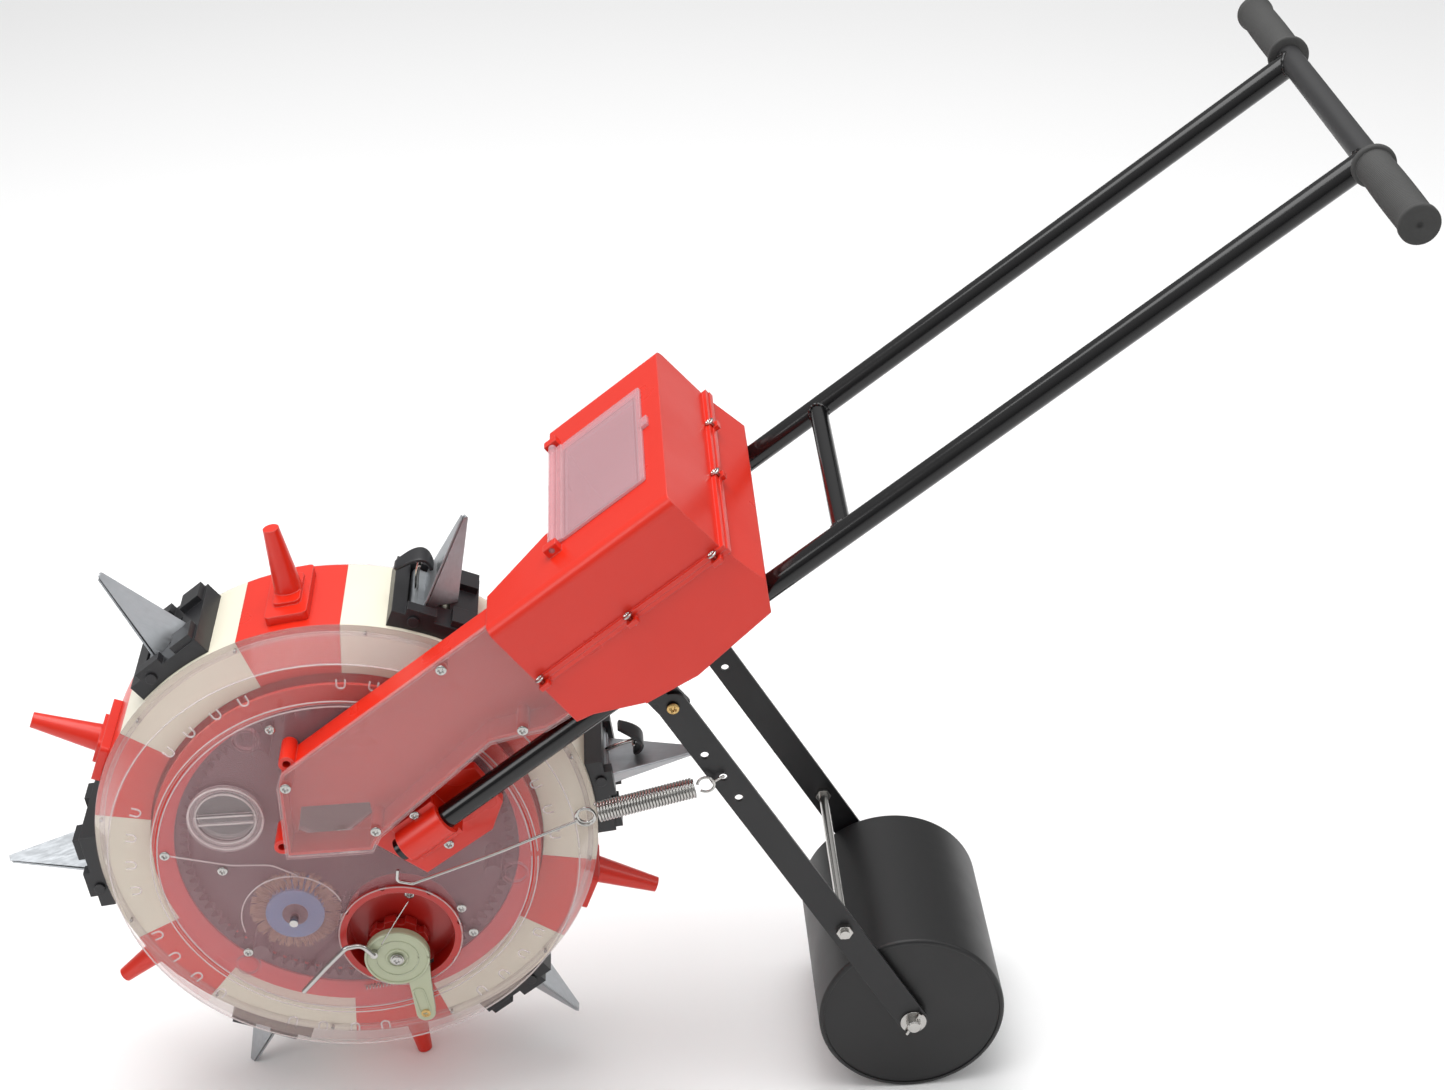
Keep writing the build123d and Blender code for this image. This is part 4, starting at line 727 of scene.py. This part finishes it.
def weld_bead(path, width=0.0016):
    """A fillet of weld: a tube along the joint line whose width ripples as the metal froze."""
    rings = wire(path, width, up_handle, 10)
    ripple = 1 + 0.16 * np.sin(np.arange(len(path)) * 1.3)[:, None, None]
    return path[:, None] + (rings - path[:, None]) * ripple


beads = []
lap = np.linspace(0, 2 * np.pi, 73)
for sign in (-1, 1):
    reach, rise = BRACE_R * np.cos(lap), BRACE_R * np.sin(lap)
    inset = TUBE_Y - np.sqrt(TUBE_R ** 2 - rise ** 2)
    beads.append(weld_bead(handle_point(BRACE_S + reach, TUBE_T + rise, sign * inset)))
    aside, rise = TUBE_R * np.cos(lap), TUBE_R * np.sin(lap) * 0.995
    meet = CROSSBAR_S - np.sqrt(TUBE_R ** 2 - rise ** 2)
    beads.append(weld_bead(handle_point(meet, TUBE_T + rise, sign * TUBE_Y + aside)))
welds = tubes_mesh("handle_welds", beads)
face_outwards(welds)
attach(welds, "frame")
paint(gloss_black, welds)

GRIP_START = 0.116
GRIP_STOP = 0.226
RIB_PITCH = 0.0022
RUBBER_START = 0.1205
RUBBER_STOP = 0.2225
ribbed = np.linspace(RUBBER_START, RUBBER_STOP, 320)
flare = 0.0012 * np.exp(-((ribbed - RUBBER_STOP) / 0.006) ** 2)
swell = 0.0005 * np.sin(np.pi * (ribbed - RUBBER_START) / 0.102)
ribs = 0.00014 * np.cos(2 * np.pi * ribbed / RIB_PITCH)
grip_profiles = [
    np.stack([ribbed, 0.0129 + flare + swell + ribs], -1),
    np.array([(GRIP_START, 0.0096), (GRIP_START, 0.0148), (0.1164, 0.0157), (0.1172, 0.0161),
              (0.1188, 0.0161), (0.1198, 0.0156), (RUBBER_START, 0.0146), (RUBBER_START, 0.0120)]),
    np.array([(0.2215, 0.0120), (0.2215, 0.0141), (0.2222, 0.0146), (0.2248, 0.0146), (0.2257, 0.0142),
              (GRIP_STOP, 0.0132), (GRIP_STOP, 0.0026), (0.2248, 0.0020), (0.2245, 0.0004)]),
]


def lathed(name, profiles, sign):
    """Closed shells turned about the crossbar: rings with each profile's radius at its distance
    from the machine's middle. The first shell has the first material and the rest the second."""
    around = np.linspace(0, 2 * np.pi, 64, endpoint=False)
    circle = np.cos(around)[:, None] * along_handle + np.sin(around)[:, None] * up_handle
    shells = [handle_point(CROSSBAR_S, TUBE_T, sign * along_bar)[:, None] + radius[:, None, None] * circle
              for along_bar, radius in (profile.T for profile in profiles)]
    piece = tubes_mesh(name, shells)
    first = (len(profiles[0]) - 1) * len(around) + 2
    later = np.arange(len(piece.data.polygons)) >= first
    piece.data.polygons.foreach_set("material_index", later.astype(int))
    face_outwards(piece)
    return piece


for sign, node in ((-1, "grip_near"), (1, "grip_far")):
    grip = lathed(node + "_turned", grip_profiles, sign)
    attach(grip, "frame")
    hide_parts(node)
    paint(grip_rubber, grip)
    grip.data.materials.append(black_nylon)


# ---- Hopper and chute ----------------------------------------------------------------------
# A red bin in two screwed halves on the handle tubes, a clear hinged lid, and a red chute with
# a clear cover down to the metering cup. Clamps hold the tubes' lower ends.

paint(red_plastic, "hopper_lower", "hopper_upper", "seed_chute", "tube_clamps")
paint(clear_cover, "chute_cover")
paint(clear_lid, "hopper_lid")
paint(fastener_steel, "hook_rod")


# ---- Press arms ----------------------------------------------------------------------------
# Flat black steel arms with a row of spare holes, on brass screws in black brackets, tied by a
# threaded strut and pulled down by a tension spring.

paint(black_nylon, "arm_brackets")
paint(satin_black, "press_arm_near", "press_arm_far")
screws_for("arm_screws", "frame", None, 0.0024, brass, head_scale=0.62)
paint(fastener_steel, "strut_rod", "roller_axle", "axle_washers_and_pins")


# ---- Press roller --------------------------------------------------------------------------
# A rolled steel drum with flat end discs, sprayed satin black, with faint rolling marks.

roller_black = coated_steel("satin_black_roller", (0.006, 0.006, 0.0065), 0.42, 0.0)
paint(roller_black, "roller_shell", "roller_ends")


# ---- Floor, light and camera ---------------------------------------------------------------
# A plain pale floor, soft studio light from above and the left, and the camera.

def floor_material():
    """Plain pale paper."""
    material, tree, shader = new_material("pale_floor")
    place = add_node(tree, "TexCoord").outputs["Object"]
    drift = add_node(tree, "TexNoise", None, {0: place, 2: 0.8, 3: 1.0}).outputs[0]
    colour = add_node(tree, "Mix", {"data_type": "RGBA"}, {0: drift,
                      6: (0.93, 0.93, 0.93, 1), 7: (0.90, 0.90, 0.90, 1)}).outputs[2]
    tree.links.new(colour, shader.inputs["Base Color"])
    shader.inputs["Roughness"].default_value = 0.9
    return material


half = 12.0
floor_mesh = bpy.data.meshes.new("floor")
corners = [(-half, -half, 0), (half, -half, 0), (half, half, 0), (-half, half, 0)]
floor_mesh.from_pydata(corners, [], [(0, 1, 2, 3)])
floor = bpy.data.objects.new("floor", floor_mesh)
bpy.context.scene.collection.objects.link(floor)
floor_mesh.materials.append(floor_material())

world = bpy.data.worlds.new("studio")
bpy.context.scene.world = world
world.use_nodes = True
sky_way = add_node(world.node_tree, "TexCoord").outputs["Generated"]
sky_height = add_node(world.node_tree, "SeparateXYZ", None, {0: sky_way}).outputs["Z"]
sky_level = add_node(world.node_tree, "MapRange", None,
                     {0: sky_height, 1: -0.1, 2: 0.9, 3: 0.10, 4: 0.85}).outputs[0]
world.node_tree.links.new(sky_level, world.node_tree.nodes["Background"].inputs["Strength"])
world.node_tree.nodes["Background"].inputs["Color"].default_value = (1, 1, 1, 1)

middle = (Vector(cad_box[0]) + Vector(cad_box[1])) / 2


def soft_box(name, offset, size, power):
    """A square area light that looks at the middle of the object."""
    lamp = bpy.data.lights.new(name, "AREA")
    lamp.size = size
    lamp.energy = power
    light = bpy.data.objects.new(name, lamp)
    light.location = middle + Vector(offset)
    light.rotation_euler = (-Vector(offset)).to_track_quat("-Z", "Y").to_euler()
    bpy.context.scene.collection.objects.link(light)


soft_box("overhead_box", (-0.3, 0.3, 2.6), 2.6, 78)
soft_box("left_box", (-2.4, -1.4, 1.3), 1.2, 14)
soft_box("right_box", (2.4, -1.0, 1.5), 0.9, 10)

right = Vector((0.99778, -0.05627, -0.03565))
down = Vector((-0.05881, -0.49313, -0.86797))
ahead = Vector((0.03126, 0.86814, -0.49534))
lens = bpy.data.cameras.new("camera")
lens.lens = 62.4
lens.sensor_width = 36.0
camera = bpy.data.objects.new("camera", lens)
turn = Matrix((right, -down, -ahead)).transposed()
camera.matrix_world = Matrix.Translation(Vector(axle) + Vector((0.2565, -1.7338, 1.2181))) @ turn.to_4x4()
bpy.context.scene.collection.objects.link(camera)
bpy.context.scene.camera = camera
bpy.context.scene.view_settings.view_transform = "Standard"
